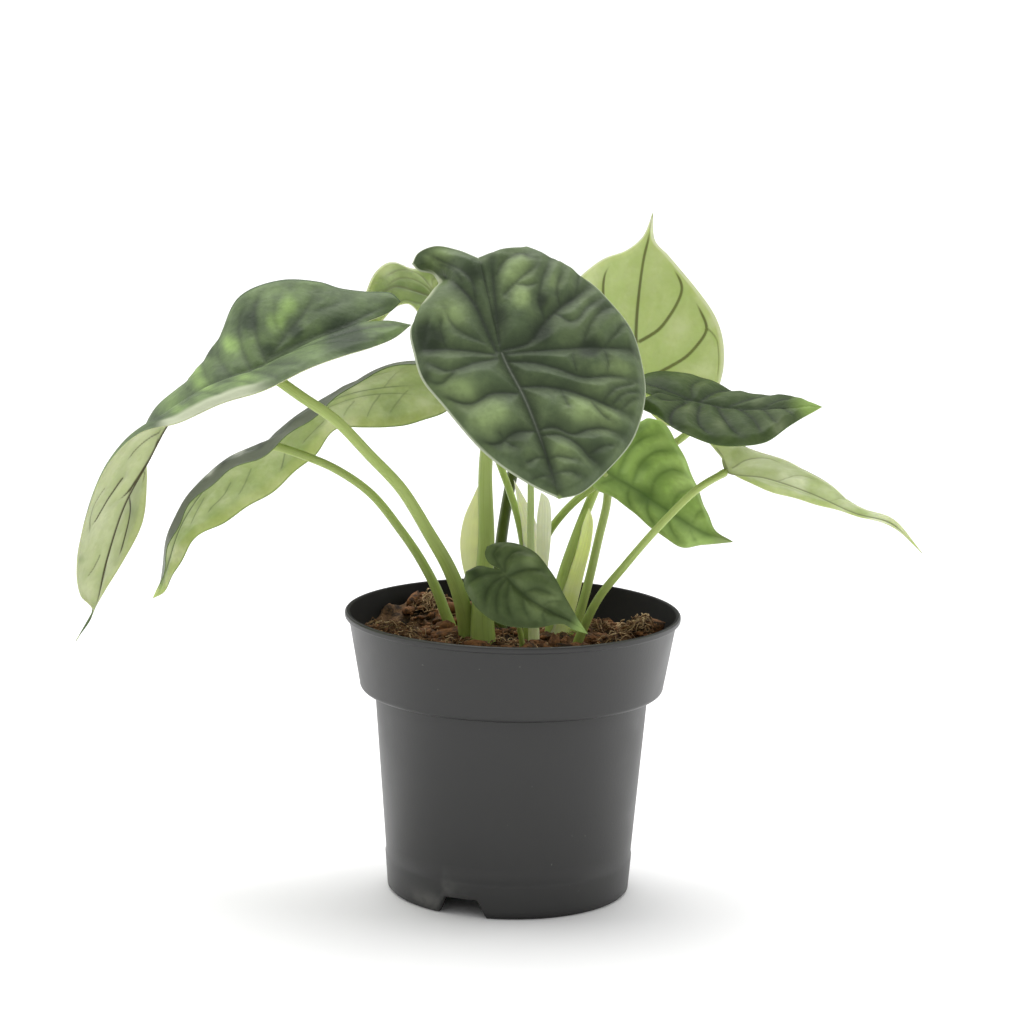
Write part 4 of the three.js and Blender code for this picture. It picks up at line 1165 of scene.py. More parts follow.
# Where a margin turns over: the width of the pale strip, and the places that its middle passes
TURNED: dict[tuple[str, Side], tuple[float, ...]] = {
    ("left_upper", Side.RIGHT): (
        6.5, 280, 385, 262, 389, 240, 394, 222, 400, 204, 407, 187, 415, 171, 423, 154, 433,
    ),
    ("front", Side.LEFT): (3.2, 420, 269, 434, 274, 442, 283, 440, 294, 431, 304, 421, 314, 413, 326),
}


@dataclass
class Blade:
    """One leaf's blade: a thin quilted sheet with sunk veins above and raised veins below."""

    place: str
    upper: UpperFinish = UpperFinish()
    under: UnderFinish = UnderFinish()
    quilt: float = 1.1
    billow: float = 1.0
    spread: float = 3.2
    groove: float = 0.15
    crest: float = 0.3
    crest_width: float = 0.4
    ridge: float = 0.3
    thickness: float = 0.62
    rim_thickness: float = 0.34
    wave: float = 0.4
    waves: float = 5.0
    rib_width: float = 0.8
    thread_width: float = 0.42
    shade_width: float = 4.0
    rim_widths: tuple[float, float] = (0.6, 0.6)
    tip_length: float = 9.0
    strong: float = 0.65
    billow_reach: float = 2.6
    step: float = 0.62
    carried: tuple[str, ...] = ("vein", "shade", "rim", "pillow", "tip", "glow", "spine", "turned")

    def attach_share(self, half: HalfBlade) -> float:
        """Return where the stalk joins the midrib, as a share along the inner rail."""
        joint = PICTURE.seen(half.layout.stalk[-3:])
        spine = half.inner[half.lobe_rows:]
        gaps = np.linalg.norm(spine - joint, axis=1)
        return float(half.shares[half.lobe_rows + int(gaps.argmin())])

    def ribs(self, half: HalfBlade) -> list[tuple[Array, float]]:
        """Return the half blade's veins as lines in space, each with its strength.

        The first two run along the midrib: from the stalk to the tip, and from the stalk to the notch.
        The rest are those drawn in the picture.
        """
        attach = self.attach_share(half)
        spine = np.linspace(attach, 1.0, 70)
        seam = np.linspace(attach, half.notch_share, 20)
        lines = [(half.at(spine, 0 * spine), 1.2), (half.at(seam, 0 * seam), 0.55)]
        drawn = VEINS[self.place, half.side]
        return lines + [(half.traced(places), strength) for strength, *places in drawn]

    def masks(self, half: HalfBlade) -> dict[str, Array]:
        """Work out the masks on one half.

        A vein's mask is a bell over the distance to it, and the strongest vein counts. The quilting
        rises away from every vein, from a valley as deep and wide as the vein is strong, and a broader
        billow rises away from the strong ones. The margin waves as a sine of the share along it, faded in
        by the fourth power of the station.

        Args:
            half: The half blade.

        Returns:
            The masks by name, each shaped as the grid.
        """
        shape = half.grid.shape[:2]
        points = half.grid.reshape(-1, 3)
        vein, shade, spine = (np.zeros(len(points)) for _ in range(3))
        pillow, open_skin = np.ones(len(points)), np.full(len(points), 1e3)
        for number, (line, strength) in enumerate(self.ribs(half)):
            gap, along = nearest(points, line)
            width = self.thread_width + (self.rib_width - self.thread_width) * strength * (1 - 0.6 * along)
            taper = smoothstep(0.0, 0.25, 1 - along)
            vein = np.maximum(vein, bell(gap, width) * min(0.2 + 0.8 * strength, 1.0) * taper)
            broad = self.shade_width * (0.4 + 0.6 * strength) * (1 - 0.4 * along)
            shade = np.maximum(shade, bell(gap, broad) * (0.2 + 0.6 * strength))
            valley = self.spread * (0.5 + 0.6 * min(strength, 1.0))
            depth = min(0.15 + 0.85 * strength, 1.0) * (0.5 + 0.5 * taper)
            pillow = np.minimum(pillow, 1 - depth * bell(gap, valley))
            if number == 0:
                spine = bell(gap, self.crest_width) * (1 - smoothstep(0.4, 0.75, along))
            if strength > self.strong:
                open_skin = np.minimum(open_skin, gap)
        outer = ((1 - half.stations)[None] * half.widths[:, None]).ravel()
        inner, _ = nearest(points, half.inner[:half.lobe_rows + 1])
        rim = self.rim_widths[0 if half.side is Side.RIGHT else 1]
        edged = np.maximum(1 - smoothstep(0.5 * rim, rim, outer), 1 - smoothstep(0.1, 0.3, inner))
        margin = np.minimum(outer, inner)
        billow = 1 - bell(open_skin, self.billow_reach * self.spread)
        fade = smoothstep(0.0, 4.0, margin)
        left = np.linalg.norm(points - half.grid[-1, 0], axis=1)
        shown = PICTURE.shown(points)
        glow, turned = np.zeros(len(points)), np.zeros(len(points))
        # The glow is painted light: bright and dark spots laid where the leaf is lit or shaded.
        for x, y, size, amount in PAINTED_LIGHT.get(self.place, ()):
            glow += amount * bell(np.linalg.norm(shown - (x, y), axis=1), size)
        if (self.place, half.side) in TURNED:
            strip, *places = TURNED[self.place, half.side]
            gap, along = nearest(shown, drawn_line(places, 40))
            ends = smoothstep(0.0, 0.3, along) * smoothstep(0.0, 0.15, 1 - along)
            turned = (1 - smoothstep(0.5 * strip, strip, gap)) * ends * (1 - smoothstep(4.0, 8.0, outer))
        ripple = np.sin(2 * math.pi * self.waves * half.shares + 1.9 * half.side.value)
        ripple = (ripple * smoothstep(0.0, 9.0, half.widths))[:, None] * (half.stations**4)[None]
        return {key: value.reshape(shape) for key, value in {
            "vein": vein * smoothstep(0.0, 1.2, margin),
            "shade": shade * (0.4 + 0.6 * fade),
            "rim": edged,
            "pillow": pillow * (0.25 + 0.75 * billow) * fade,
            "tip": 1 - smoothstep(0.35 * self.tip_length, self.tip_length, left),
            "glow": np.clip(0.5 + 0.5 * glow, 0.0, 1.0),
            "spine": spine,
            "turned": turned,
            "lift": (self.quilt * pillow + self.billow * billow) * fade + self.wave * ripple.ravel(),
            "body": self.rim_thickness + (self.thickness - self.rim_thickness) * fade,
        }.items()}

    def surface(self) -> Surface:
        """Return the whole blade as one closed surface.

        Each face lies half the thickness from the middle sheet, and the quilting lifts both. The upper
        face is cut in at the veins, where the midrib's crest stands, and the lower one stands out there.
        Both halves take the same normals and masks along the midrib, and each end row has one normal, so
        that they meet.
        """
        layout = LEAVES[self.place]
        halves = [HalfBlade(layout, side, self.step) for side in Side]
        rows = max(half.lobe_rows for half in halves), max(half.blade_rows for half in halves)
        halves = [HalfBlade(layout, side, self.step, rows) for side in Side]
        spine = slice(rows[0], None)
        normals = [half.normals() for half in halves]
        masks = [self.masks(half) for half in halves]
        shared = unit(normals[0][spine, 0] + normals[1][spine, 0])
        for key in masks[0]:
            meet = np.minimum if key in ("pillow", "lift", "body") else np.maximum
            met = meet(masks[0][key][spine, 0], masks[1][key][spine, 0])
            masks[0][key][spine, 0] = masks[1][key][spine, 0] = met
        parts = []
        for half, normal, mask in zip(halves, normals, masks):
            normal[spine, 0] = shared
            normal[0] = unit(normal[1].mean(axis=0))
            normal[-1] = shared[-2]
            top = mask["lift"] + mask["body"] / 2 - self.groove * mask["vein"] + self.crest * mask["spine"]
            low = mask["lift"] - mask["body"] / 2 - self.ridge * mask["vein"]
            faces = [half.grid + normal * top[..., None], half.grid + normal * low[..., None]]
            left, lobe = half.side is Side.LEFT, slice(0, half.lobe_rows + 1)
            walls = (slice(None), -1, left), (lobe, 0, not left)
            parts.append(closed_sheet(faces, {key: mask[key] for key in self.carried}, walls, left))
        return joined(parts)

    def build(self) -> Piece:
        """Make the blade, dress it and let it stand for its solid."""
        slot = "young_blade" if self.place == "right_middle" else "leaf_blade"
        finishes = [self.upper.material(f"{self.place}_upper"), self.under.material(f"{self.place}_under")]
        return self.surface().build(f"leaf_{self.place}", finishes, f"blade_{self.place}", slot)


@dataclass
class Tube:
    """A round or nearly round stem along a smooth course."""

    course: Array
    rings: int = 70
    sides: int = 28

    def frames(self) -> tuple[Array, Array, Array]:
        """Return the course's points, with two directions across it that turn as little as they can."""
        line = curve_at(self.course, steps(self.rings + 1))
        along = unit(np.gradient(line, axis=0))
        side = np.cross(along, np.array([0.0, 1.0, 0.0]))
        side = unit(side - along * (side * along).sum(axis=1, keepdims=True))
        return line, side, np.cross(along, side)

    def surface(self, radius: Array, around: Array) -> Surface:
        """Carry a profile along the course.

        Args:
            radius: The distance from the course at each ring and side.
            around: The angle of each side.

        Returns:
            The closed surface, with how far along and round each point lies.
        """
        line, side, up = self.frames()
        ring = np.cos(around)[None, :, None] * side[:, None] + np.sin(around)[None, :, None] * up[:, None]
        points = line[:, None] + ring * radius[..., None]
        ends = np.repeat(line[[0, -1]][:, None], self.sides, axis=1)
        points = np.concatenate([ends[:1], points, ends[1:]])
        share = np.concatenate([[0.0], steps(self.rings + 1), [1.0]])
        values = {
            "along": np.repeat(share, self.sides),
            "round": np.tile(np.abs(np.linspace(-1.0, 1.0, self.sides)), len(share)),
        }
        return Surface(points.reshape(-1, 3), closed_faces(len(share), self.sides), None, values)


@dataclass
class Stalk:
    """A leaf's stalk: thicker and clasping at its foot, slightly channelled, flared under the blade."""

    place: str
    finish: StemFinish
    flare: float = 0.35
    dome: float = 3.0
    channel: float = 0.1
    foot_height: float = 84.3

    def build(self) -> Piece:
        """Make the stalk.

        The radius falls from foot to top with the cube of the share left, swells and closes in a dome
        under the blade, and is drawn in on the upper side by a shallow channel.
        """
        layout = LEAVES[self.place]
        foot = np.array([[*layout.foot, self.foot_height]])
        tube = Tube(np.vstack([foot, PICTURE.seen(layout.stalk)]))
        share, around = steps(tube.rings + 1), circle(tube.sides)
        wide, thin = layout.stalk_radii
        radius = thin + (wide - thin) * (1 - share) ** 3
        radius = radius * (1 + self.flare * smoothstep(0.955, 1.0, share))
        end = np.clip((share - 1.0) * length_of(tube.course) / self.dome + 1.0, 0.0, 1.0)
        radius = radius * np.sqrt(1 - 0.98 * end**2)
        groove = self.channel * bell(np.cos(around) - 1.0, 0.35)
        rounded = radius[:, None] * (1 - groove[None] * smoothstep(0.05, 0.3, share)[:, None])
        finishes = [self.finish.material()]
        return tube.surface(rounded, around).build(
            f"stem_{self.place}", finishes, f"stalk_{self.place}", "leaf_stalk"
        )


@dataclass
class NewLeaf:
    """The next leaf, still rolled into a spear whose free edge winds round it."""

    finish: StemFinish
    foot: Triple = (8, -6, 84.3)
    course: Numbers = (533, 601, -4, 531, 545, -2, 531, 491, 0, 530, 440, 2, 529, 425, 3)
    wide: float = 2.1
    thin: float = 0.5
    fullness: float = 0.55
    overlap: float = 0.22
    turns: float = 1.2

    def build(self) -> Piece:
        """Make the spear.

        The radius steps down by the overlap across a seam whose angle grows along the spear.
        """
        tube = Tube(np.vstack([[self.foot], PICTURE.seen(self.course)]), rings=110, sides=40)
        share, around = steps(tube.rings + 1)[:, None], circle(tube.sides)
        radius = self.thin + (self.wide - self.thin) * (1 - share) ** self.fullness
        phase = ((around[None] - 2 * math.pi * self.turns * share) / (2 * math.pi)) % 1.0
        radius = radius * (1 - self.overlap * phase * smoothstep(0.1, 0.3, share))
        shape = tube.surface(radius, around)
        return shape.build("rolled_leaf", [self.finish.material()], "new_leaf", "leaf_stalk")


@dataclass
class Sheath:
    """A papery sheath beside a stalk, with ribs along it and slack wrinkles across it."""

    name: str
    finish: StemFinish
    top: Triple
    bottom: Triple
    inner: Numbers
    outer: Numbers
    bulge: float = 0.2
    thickness: float = 0.5
    rib: float = 0.05
    ribs: int = 5
    wrinkle: float = 0.5

    def build(self) -> Piece:
        """Make the sheath.

        A point is start + s(end - start), moved forwards by 4s(1 - s) bulge width, ribs that run along
        and wrinkles that run across. Each face lies half the thickness from it.
        """
        rows, columns = 70, 26
        shares, s = steps(rows), steps(columns)
        start, end = (
            curve_at(PICTURE.seen(self.top + edge + self.bottom), shares) for edge in (self.inner, self.outer)
        )
        across = end - start
        width = np.linalg.norm(across, axis=1)
        forward = np.array([0.0, -1.0, 0.0])
        swell = 4 * s * (1 - s) * self.bulge * width[:, None]
        ribs = self.rib * np.cos(2 * math.pi * self.ribs * s)[None] * np.minimum(width / 4, 1.0)[:, None]
        folds = value_noise(shares[:, None] * 90, s[None] * 3 + 0 * shares[:, None], 6.0, SEED)
        folds = self.wrinkle * folds * np.sin(math.pi * shares)[:, None] * np.sin(math.pi * s)[None]
        middle = start[:, None] + across[:, None] * s[None, :, None]
        middle = middle + forward * (swell + ribs + folds)[..., None]
        along, over = np.broadcast_arrays(1 - shares[:, None], s[None])
        faces = [middle + forward * self.thickness / 2, middle - forward * self.thickness / 2]
        walls = (slice(None), 0, True), (slice(None), -1, False)
        shape = closed_sheet(faces, {"along": along, "round": over}, walls).outward()
        shape.slots = None
        return shape.build(f"papery_{self.name}", [self.finish.material()], self.name, "sheath")


@dataclass
class Pot:
    """The moulded pot: a rolled rim, a deep collar, a tapered body and a foot ring with notches."""

    height: float = 101.4
    rim_radius: float = 60.0
    bead_height: float = 2.2
    bead_width: float = 1.8
    collar_top_radius: float = 58.7
    collar_foot_radius: float = 54.4
    collar_foot_height: float = 75.4
    shoulder_height: float = 73.4
    body_top_radius: float = 49.0
    foot_radius: float = 43.1
    foot_ring_width: float = 2.1
    wall: float = 1.2
    floor_underside: float = 7.0
    notch_height: float = 6.5
    notch_foot_width: float = 19.0
    notch_top_width: float = 12.0
    notch_azimuth: float = math.radians(-22.4)
    notches: int = 3
    drain_radius: float = 4.5
    drain_circle: float = 28.0
    drains: int = 6
    foot_band: float = 13.0
    foot_step: float = 0.35
    wear_azimuth: float = math.radians(-17)
    wear_spread: float = math.radians(14)
    wear_height: float = 3.4

    def collar_radius(self, height: Array) -> Array:
        """Return the collar's inner radius at a height."""
        rise = self.height - self.bead_height - self.collar_foot_height
        slope = (self.collar_top_radius - self.collar_foot_radius) / rise
        return self.collar_foot_radius - self.wall + slope * (height - self.collar_foot_height)

    def body_radius(self, height: Array) -> Array:
        """Return the body's outer radius at a height."""
        return self.foot_radius + (self.body_top_radius - self.foot_radius) * height / self.shoulder_height

    def arc(self, centre: tuple[float, float], radius: float, start: float, end: float) -> Array:
        """Return a quarter round or less in the profile, from one angle to another, in degrees."""
        turn = np.radians(np.linspace(start, end, 7))
        return np.stack([centre[0] + radius * np.cos(turn), centre[1] + radius * np.sin(turn)], axis=1)

    def profile(self) -> Array:
        """Return radius and height of the pot's section, from the floor's underside out and over.

        Long straight stretches are divided evenly so that the foot can follow its notches.
        """
        ring = self.foot_radius - self.foot_ring_width
        bead = self.height - self.bead_height
        inside = self.rim_radius - self.bead_width
        floor_top = self.floor_underside + self.wall
        shoulder_top = self.collar_foot_height + self.wall
        low = np.linspace(1.0, self.foot_band, 8)[:, None]
        high = np.linspace(self.foot_band + 0.6, self.shoulder_height - 0.8, 12)[:, None]
        in_low = self.shoulder_height - self.wall
        return np.vstack([
            [[0.0, self.floor_underside], [ring - 0.4, self.floor_underside]],
            self.arc((ring - 0.4, self.floor_underside - 0.4), 0.4, 90, 0),
            np.hstack([np.full((5, 1), ring), np.linspace(6.0, 0.5, 5)[:, None]]),
            self.arc((ring + 0.4, 0.4), 0.4, 180, 270),
            self.arc((self.foot_radius - 0.9, 0.9), 0.9, -90, 0),
            np.hstack([self.body_radius(low) + self.foot_step, low]),
            np.hstack([self.body_radius(high), high]),
            [[self.body_top_radius - 0.1, self.shoulder_height - 0.3],
             [self.body_top_radius + 0.5, self.shoulder_height]],
            self.arc((self.collar_foot_radius - 2.0, self.collar_foot_height), 2.0, -90, 0),
            [[self.collar_top_radius - 0.2, bead - 0.6], [self.collar_top_radius + 0.1, bead - 0.1]],
            self.arc((self.rim_radius - 0.6, bead + 0.6), 0.6, -90, 0),
            self.arc((self.rim_radius - 0.7, self.height - 0.7), 0.7, 0, 90),
            self.arc((inside + 0.6, self.height - 0.6), 0.6, 90, 180),
            [
                [self.collar_radius(bead - 1.0), bead - 1.0],
                [self.collar_radius(shoulder_top + 0.8), shoulder_top + 0.8],
                [self.collar_radius(shoulder_top) - 0.8, shoulder_top],
                [self.body_radius(shoulder_top) - self.wall, shoulder_top - 0.5],
                [self.body_radius(in_low) - self.wall, in_low],
                [self.body_radius(floor_top + 1.5) - self.wall, floor_top + 1.5],
                [self.body_radius(floor_top) - self.wall - 1.5, floor_top],
                [0.0, floor_top],
            ],
        ])

    def even_azimuths(self, count: int) -> Array:
        """Return so many even azimuths, from the first notch on."""
        return self.notch_azimuth + 2 * math.pi * np.arange(count) / count

    def beside(self, turns: Array) -> Array:
        """Return the angles from each notch's middle to each azimuth, from -pi to pi."""
        apart = turns[:, None] - self.even_azimuths(self.notches)[None]
        return (apart + math.pi) % (2 * math.pi) - math.pi

    def turns(self) -> Array:
        """Return the azimuths of the lathe's steps, closer together along the notches' flanks."""
        plain = circle(240)
        reach = self.notch_foot_width / 2 / self.foot_radius * 1.15
        close = self.even_azimuths(self.notches)[:, None] + np.linspace(-reach, reach, 61)[None]
        clear = np.abs(self.beside(plain)).min(axis=1) > reach * 1.02
        return np.sort(np.concatenate([plain[clear], close.ravel() % (2 * math.pi)]))

    def notch_rise(self, turns: Array) -> Array:
        """Return how high the foot is cut away at each azimuth: a trapezium with rounded corners."""
        across = np.abs(self.beside(turns)).min(axis=1) * self.foot_radius
        half_foot, half_top = self.notch_foot_width / 2, self.notch_top_width / 2
        ramp = np.clip((half_foot - across) / (half_foot - half_top), 0.0, 1.0)
        return (self.notch_height - 0.1) * (0.5 * ramp + 0.5 * smoothstep(0.0, 1.0, ramp))

    def build(self, outside: PlasticFinish, inside: PlasticFinish) -> Piece:
        """Turn the profile, raise the foot over the notches, and cut the drain holes in the floor.

        A point of the foot below the floor's underside, at height z, moves up to n + z(f - n) / f,
        where n is the notch's rise there and f the underside's height.
        """
        profile, turns = self.profile(), self.turns()
        radius, height = profile[:, :1], profile[:, 1:]
        rise = self.notch_rise(turns)[None]
        limit = self.floor_underside
        raised = np.where(height < limit, rise + height * (limit - rise) / limit, height)
        points = lathe(radius, raised, turns - math.pi / 2)
        near = bell(raised - rise - self.wear_height, self.wear_height) * (radius > self.foot_radius - 1)
        left = bell(self.beside(turns)[None, :, 0] - self.wear_azimuth, self.wear_spread)
        # A faint painted highlight along the rim's top, joined to the wear by the first notch.
        edge = np.exp(-np.abs(raised - self.height) / 0.8) * 0.12
        wear_and_highlight = np.maximum(near * left, edge)
        within = np.arange(1, len(profile)) > int(np.argmax(profile[:, 1]))
        slots = np.repeat(np.where(within, Wall.INSIDE.value, Wall.OUTSIDE.value), len(turns))
        quads = closed_faces(len(profile), len(turns))
        shape = Surface(points.reshape(-1, 3), quads, slots, {"wear_and_highlight": wear_and_highlight.ravel()})
        finishes = [outside.material(), inside.material()]
        piece = shape.build("nursery_pot", finishes, "pot", "pot_plastic")
        self.cut_drains(piece)
        return piece

    def cut_drains(self, piece: Piece) -> None:
        """Cut the drain holes through the floor."""
        sides, reach = 40, self.drain_radius
        section = np.array([[0.0, -2.0], [reach, -2.0], [reach, 4.0], [0.0, 4.0]])
        plug = lathe(section[:, :1], self.floor_underside + section[:, 1:], circle(sides)).reshape(-1, 3)
        plugs = []
        for azimuth in self.even_azimuths(self.drains):
            centre = np.array([math.sin(azimuth), -math.cos(azimuth), 0.0]) * self.drain_circle
            plugs.append(Surface(plug + centre, closed_faces(4, sides)))
        cutter = joined(plugs).build("drain_cutter", [])
        cut = piece.modifiers.new("drains", "BOOLEAN")
        cut.object = cutter
        cut.solver = "EXACT"
        with bpy.context.temp_override(object=piece, active_object=piece, selected_objects=[piece]):
            bpy.ops.object.modifier_apply(modifier=cut.name)
        bpy.data.objects.remove(cutter)


@dataclass(frozen=True)
class Heap:
    """A heap or hollow on the mix: where it is, how far it spreads and how high it stands."""

    x: float
    y: float
    spread: float
    height: float


@dataclass
class PottingMix:
    """Loose potting mix: a rough heaped surface, bark chips and coir fibres."""

    pot: Pot
    surface_height: float = 91.0
    fit_gap: float = 0.3
    heaps: tuple[Heap, ...] = (
        Heap(-34, 36, 14, 7), Heap(-46, -6, 12, 3), Heap(48, 7, 8, 5), Heap(26, 6, 9, 2),
        Heap(8, -44, 14, 2), Heap(30, 42, 20, -3),
    )
    tufts: tuple[tuple[float, float], ...] = (
        (-44, -6), (-39, 3), (-30, 31), (44, 4), (46, 9), (31, 12), (-36, -18), (12, -43),
    )
    clearing: float = 4.0
    chips: int = 1300
    fibres: int = 1300
    wound: int = 560

    def height(self, x: Array, y: Array) -> Array:
        """Return the mix's height: heaps as bell curves, a long ripple, and clods of several sizes."""
        heaps = sum(
            heap.height * bell(np.hypot(x - heap.x, y - heap.y), heap.spread)
            for heap in self.heaps
        )
        ripple = 0.7 * np.sin(0.35 * x + 1.3) * np.cos(0.31 * y) + 0.4 * np.sin(0.71 * y - 0.4 * x)
        clods = sum(
            height * value_noise(x + 90, y + 90, size, SEED + number)
            for number, height, size in ((1, 2.0, 6.5), (2, 1.2, 3.0), (3, 0.5, 1.2))
        )
        return self.surface_height + heaps + ripple + clods - 0.6

    def bed(self) -> Surface:
        """Return the body of the mix: the pot's inside below, and the rough heaped top."""
        sides, rings = 300, 95
        turns, pot = circle(sides), self.pot
        gap = pot.wall + self.fit_gap
        floor, shoulder = pot.floor_underside + gap, pot.collar_foot_height + gap
        low = np.array([
            [0.0, floor],
            [pot.body_radius(floor) - gap - 1.4, floor],
            [pot.body_radius(floor + 1.4) - gap, floor + 1.4],
            [pot.body_radius(pot.shoulder_height) - gap, pot.shoulder_height],
            [pot.collar_radius(shoulder) - self.fit_gap, shoulder],
        ])
        share = np.linspace(1.0, 0.0, rings)
        edge = pot.collar_radius(self.surface_height) - self.fit_gap
        x = edge * share[:, None] * np.cos(turns)[None]
        y = edge * share[:, None] * np.sin(turns)[None]
        z = self.height(x, y)
        stretch = (pot.collar_radius(z) - self.fit_gap) / edge
        top = np.stack([x * stretch, y * stretch, z], axis=-1)
        top[-1] = top[-1].mean(axis=0)
        points = np.concatenate([lathe(low[:, :1], low[:, 1:], turns), top]).reshape(-1, 3)
        tone = value_noise(points[:, 0] + 90, points[:, 1] + 90, 3.0, SEED + 4) * 0.2 + 0.12
        return Surface(points, closed_faces(len(low) + rings, sides), None, {"tone": tone})

    def scatter(self, count: int, random: np.random.Generator, spare: float) -> Array:
        """Pick random places on the surface, spare millimetres clear of the wall and the stalks."""
        radius = self.pot.collar_radius(self.surface_height) - spare
        radius = radius * np.sqrt(random.uniform(0.0, 1.0, 2 * count))
        places = lathe(radius, 0.0, random.uniform(0.0, 2 * math.pi, 2 * count))[:, :2]
        feet = np.array([layout.foot for layout in LEAVES.values()], float)
        gaps = np.linalg.norm(places[:, None] - feet[None], axis=2).min(axis=1)
        return places[gaps > self.clearing][:count]

    def chip_field(self) -> Surface:
        """Return the bark chips: flat knobbly lozenges of random size, turned and tilted at random."""
        random = np.random.default_rng(SEED + 5)
        places = self.scatter(self.chips, random, 3.5)
        count = len(places)
        rings, sides = 5, 7
        polar = np.linspace(0.0, math.pi, rings)[:, None]
        ball = lathe(np.sin(polar), np.cos(polar), circle(sides))
        knobs = 1 + random.uniform(-0.3, 0.3, (count, rings, sides, 1))
        knobs[:, [0, -1]] = 1.0
        size = random.lognormal(0.0, 0.55, (count, 1)) * np.array([[1.8, 1.0, 0.55]])
        shape = ball[None] * knobs * np.minimum(size, 5.5)[:, None, None]
        yaw = random.uniform(0.0, 2 * math.pi, count)
        tilt = random.normal(0.0, 0.5, count)
        shape = self.turned(shape, tilt, yaw)
        z = self.height(places[:, 0], places[:, 1]) + random.uniform(-0.3, 0.9, count)
        points = self.kept_in(shape + np.column_stack([places, z])[:, None, None])
        return copies(points, closed_faces(rings, sides), random.beta(0.9, 2.0, count))

    def fibre_field(self) -> Surface:
        """Return the coir fibres: thin strands in loose random curves, the first of them wound in tufts."""
        random = np.random.default_rng(SEED + 6)
        places = self.scatter(self.fibres, random, 7.0)
        count = len(places)
        wound = np.arange(count) < self.wound
        tufts = np.array(self.tufts)[np.arange(count) % len(self.tufts)]
        places = np.where(wound[:, None], tufts + random.normal(0.0, 2.6, (count, 2)), places)
        rings, sides = 9, 4
        u = np.linspace(-0.5, 0.5, rings)
        length = random.uniform(3.0, 11.0, count)
        heading = random.uniform(0.0, 2 * math.pi, count)
        curl = random.normal(0.0, 1.6, count) * np.where(wound, 2.2, 1.0)
        length = np.where(wound, 0.75, 1.0) * length
        angle = heading[:, None] + curl[:, None] * u[None]
        x = places[:, :1] + length[:, None] * u[None] * np.cos(angle)
        y = places[:, 1:] + length[:, None] * u[None] * np.sin(angle)
        arch = random.uniform(0.0, 1.6, count)[:, None] * (0.25 - u[None] ** 2) * 4
        pile = np.where(wound, random.uniform(0.0, 3.4, count), 0.35)[:, None]
        z = self.height(x, y) + pile + arch
        width = random.uniform(0.1, 0.28, count)[:, None, None]
        turn = circle(sides)
        taper = (1 - (2 * np.abs(u)) ** 3)[None, :, None] * width + 0.01
        across = np.stack([-np.sin(angle), np.cos(angle), 0 * angle], axis=-1)
        ring = across[:, :, None] * (np.cos(turn)[None, None] * taper)[..., None]
        ring = ring + np.array([0.0, 0.0, 1.0]) * (np.sin(turn)[None, None] * taper)[..., None]
        points = self.kept_in(np.stack([x, y, z], axis=-1)[:, :, None] + ring)
        caps = np.array([[3, 2, 1, 0], [32, 33, 34, 35]])
        quads = np.vstack([closed_faces(rings, sides), caps])
        return copies(points, quads, random.uniform(0.35, 1.0, count))

    def kept_in(self, points: Array) -> Array:
        """Draw points near the collar's wall in, so that the last 2 mm before it hold all beyond them.

        A distance r beyond r0, 2 mm short of the wall, becomes r0 + 2(1 - exp((r0 - r) / 2)).
        """
        reach = np.linalg.norm(points[..., :2], axis=-1, keepdims=True)
        start = self.pot.collar_radius(points[..., 2:]) - self.fit_gap - 2.0
        beyond = np.maximum(reach - start, 0.0)
        drawn = np.minimum(reach, start) + 2.0 * (1 - np.exp(-beyond / 2.0))
        points[..., :2] = points[..., :2] * (drawn / np.maximum(reach, 1e-6))
        return points

    def turned(self, shapes: Array, tilt: Array, yaw: Array) -> Array:
        """Tilt each shape about its first axis and then turn it about the vertical."""
        cos_t, sin_t = np.cos(tilt)[:, None, None], np.sin(tilt)[:, None, None]
        cos_y, sin_y = np.cos(yaw)[:, None, None], np.sin(yaw)[:, None, None]
        x, y, z = shapes[..., 0], shapes[..., 1], shapes[..., 2]
        y, z = y * cos_t - z * sin_t, y * sin_t + z * cos_t
        return np.stack([x * cos_y - y * sin_y, x * sin_y + y * cos_y, z], axis=-1)

    def build(self) -> list[Piece]:
        """Make the bed, the chips and the fibres."""
        bark = EarthFinish("bark", light=(0.2, 0.088, 0.032), pale=(0.5, 0.36, 0.2), scale=420.0)
        coir = EarthFinish("coir", light=(0.22, 0.12, 0.052), pale=(0.52, 0.38, 0.22), paleness=0.45)
        return [
            self.bed().build("mix_bed", [EarthFinish("mix_bed").material()], "potting_mix", "potting_mix"),
            self.chip_field().outward().build("bark_chips", [bark.material()], slot="potting_mix"),
            self.fibre_field().build("coir_fibres", [coir.material()], slot="potting_mix"),
        ]


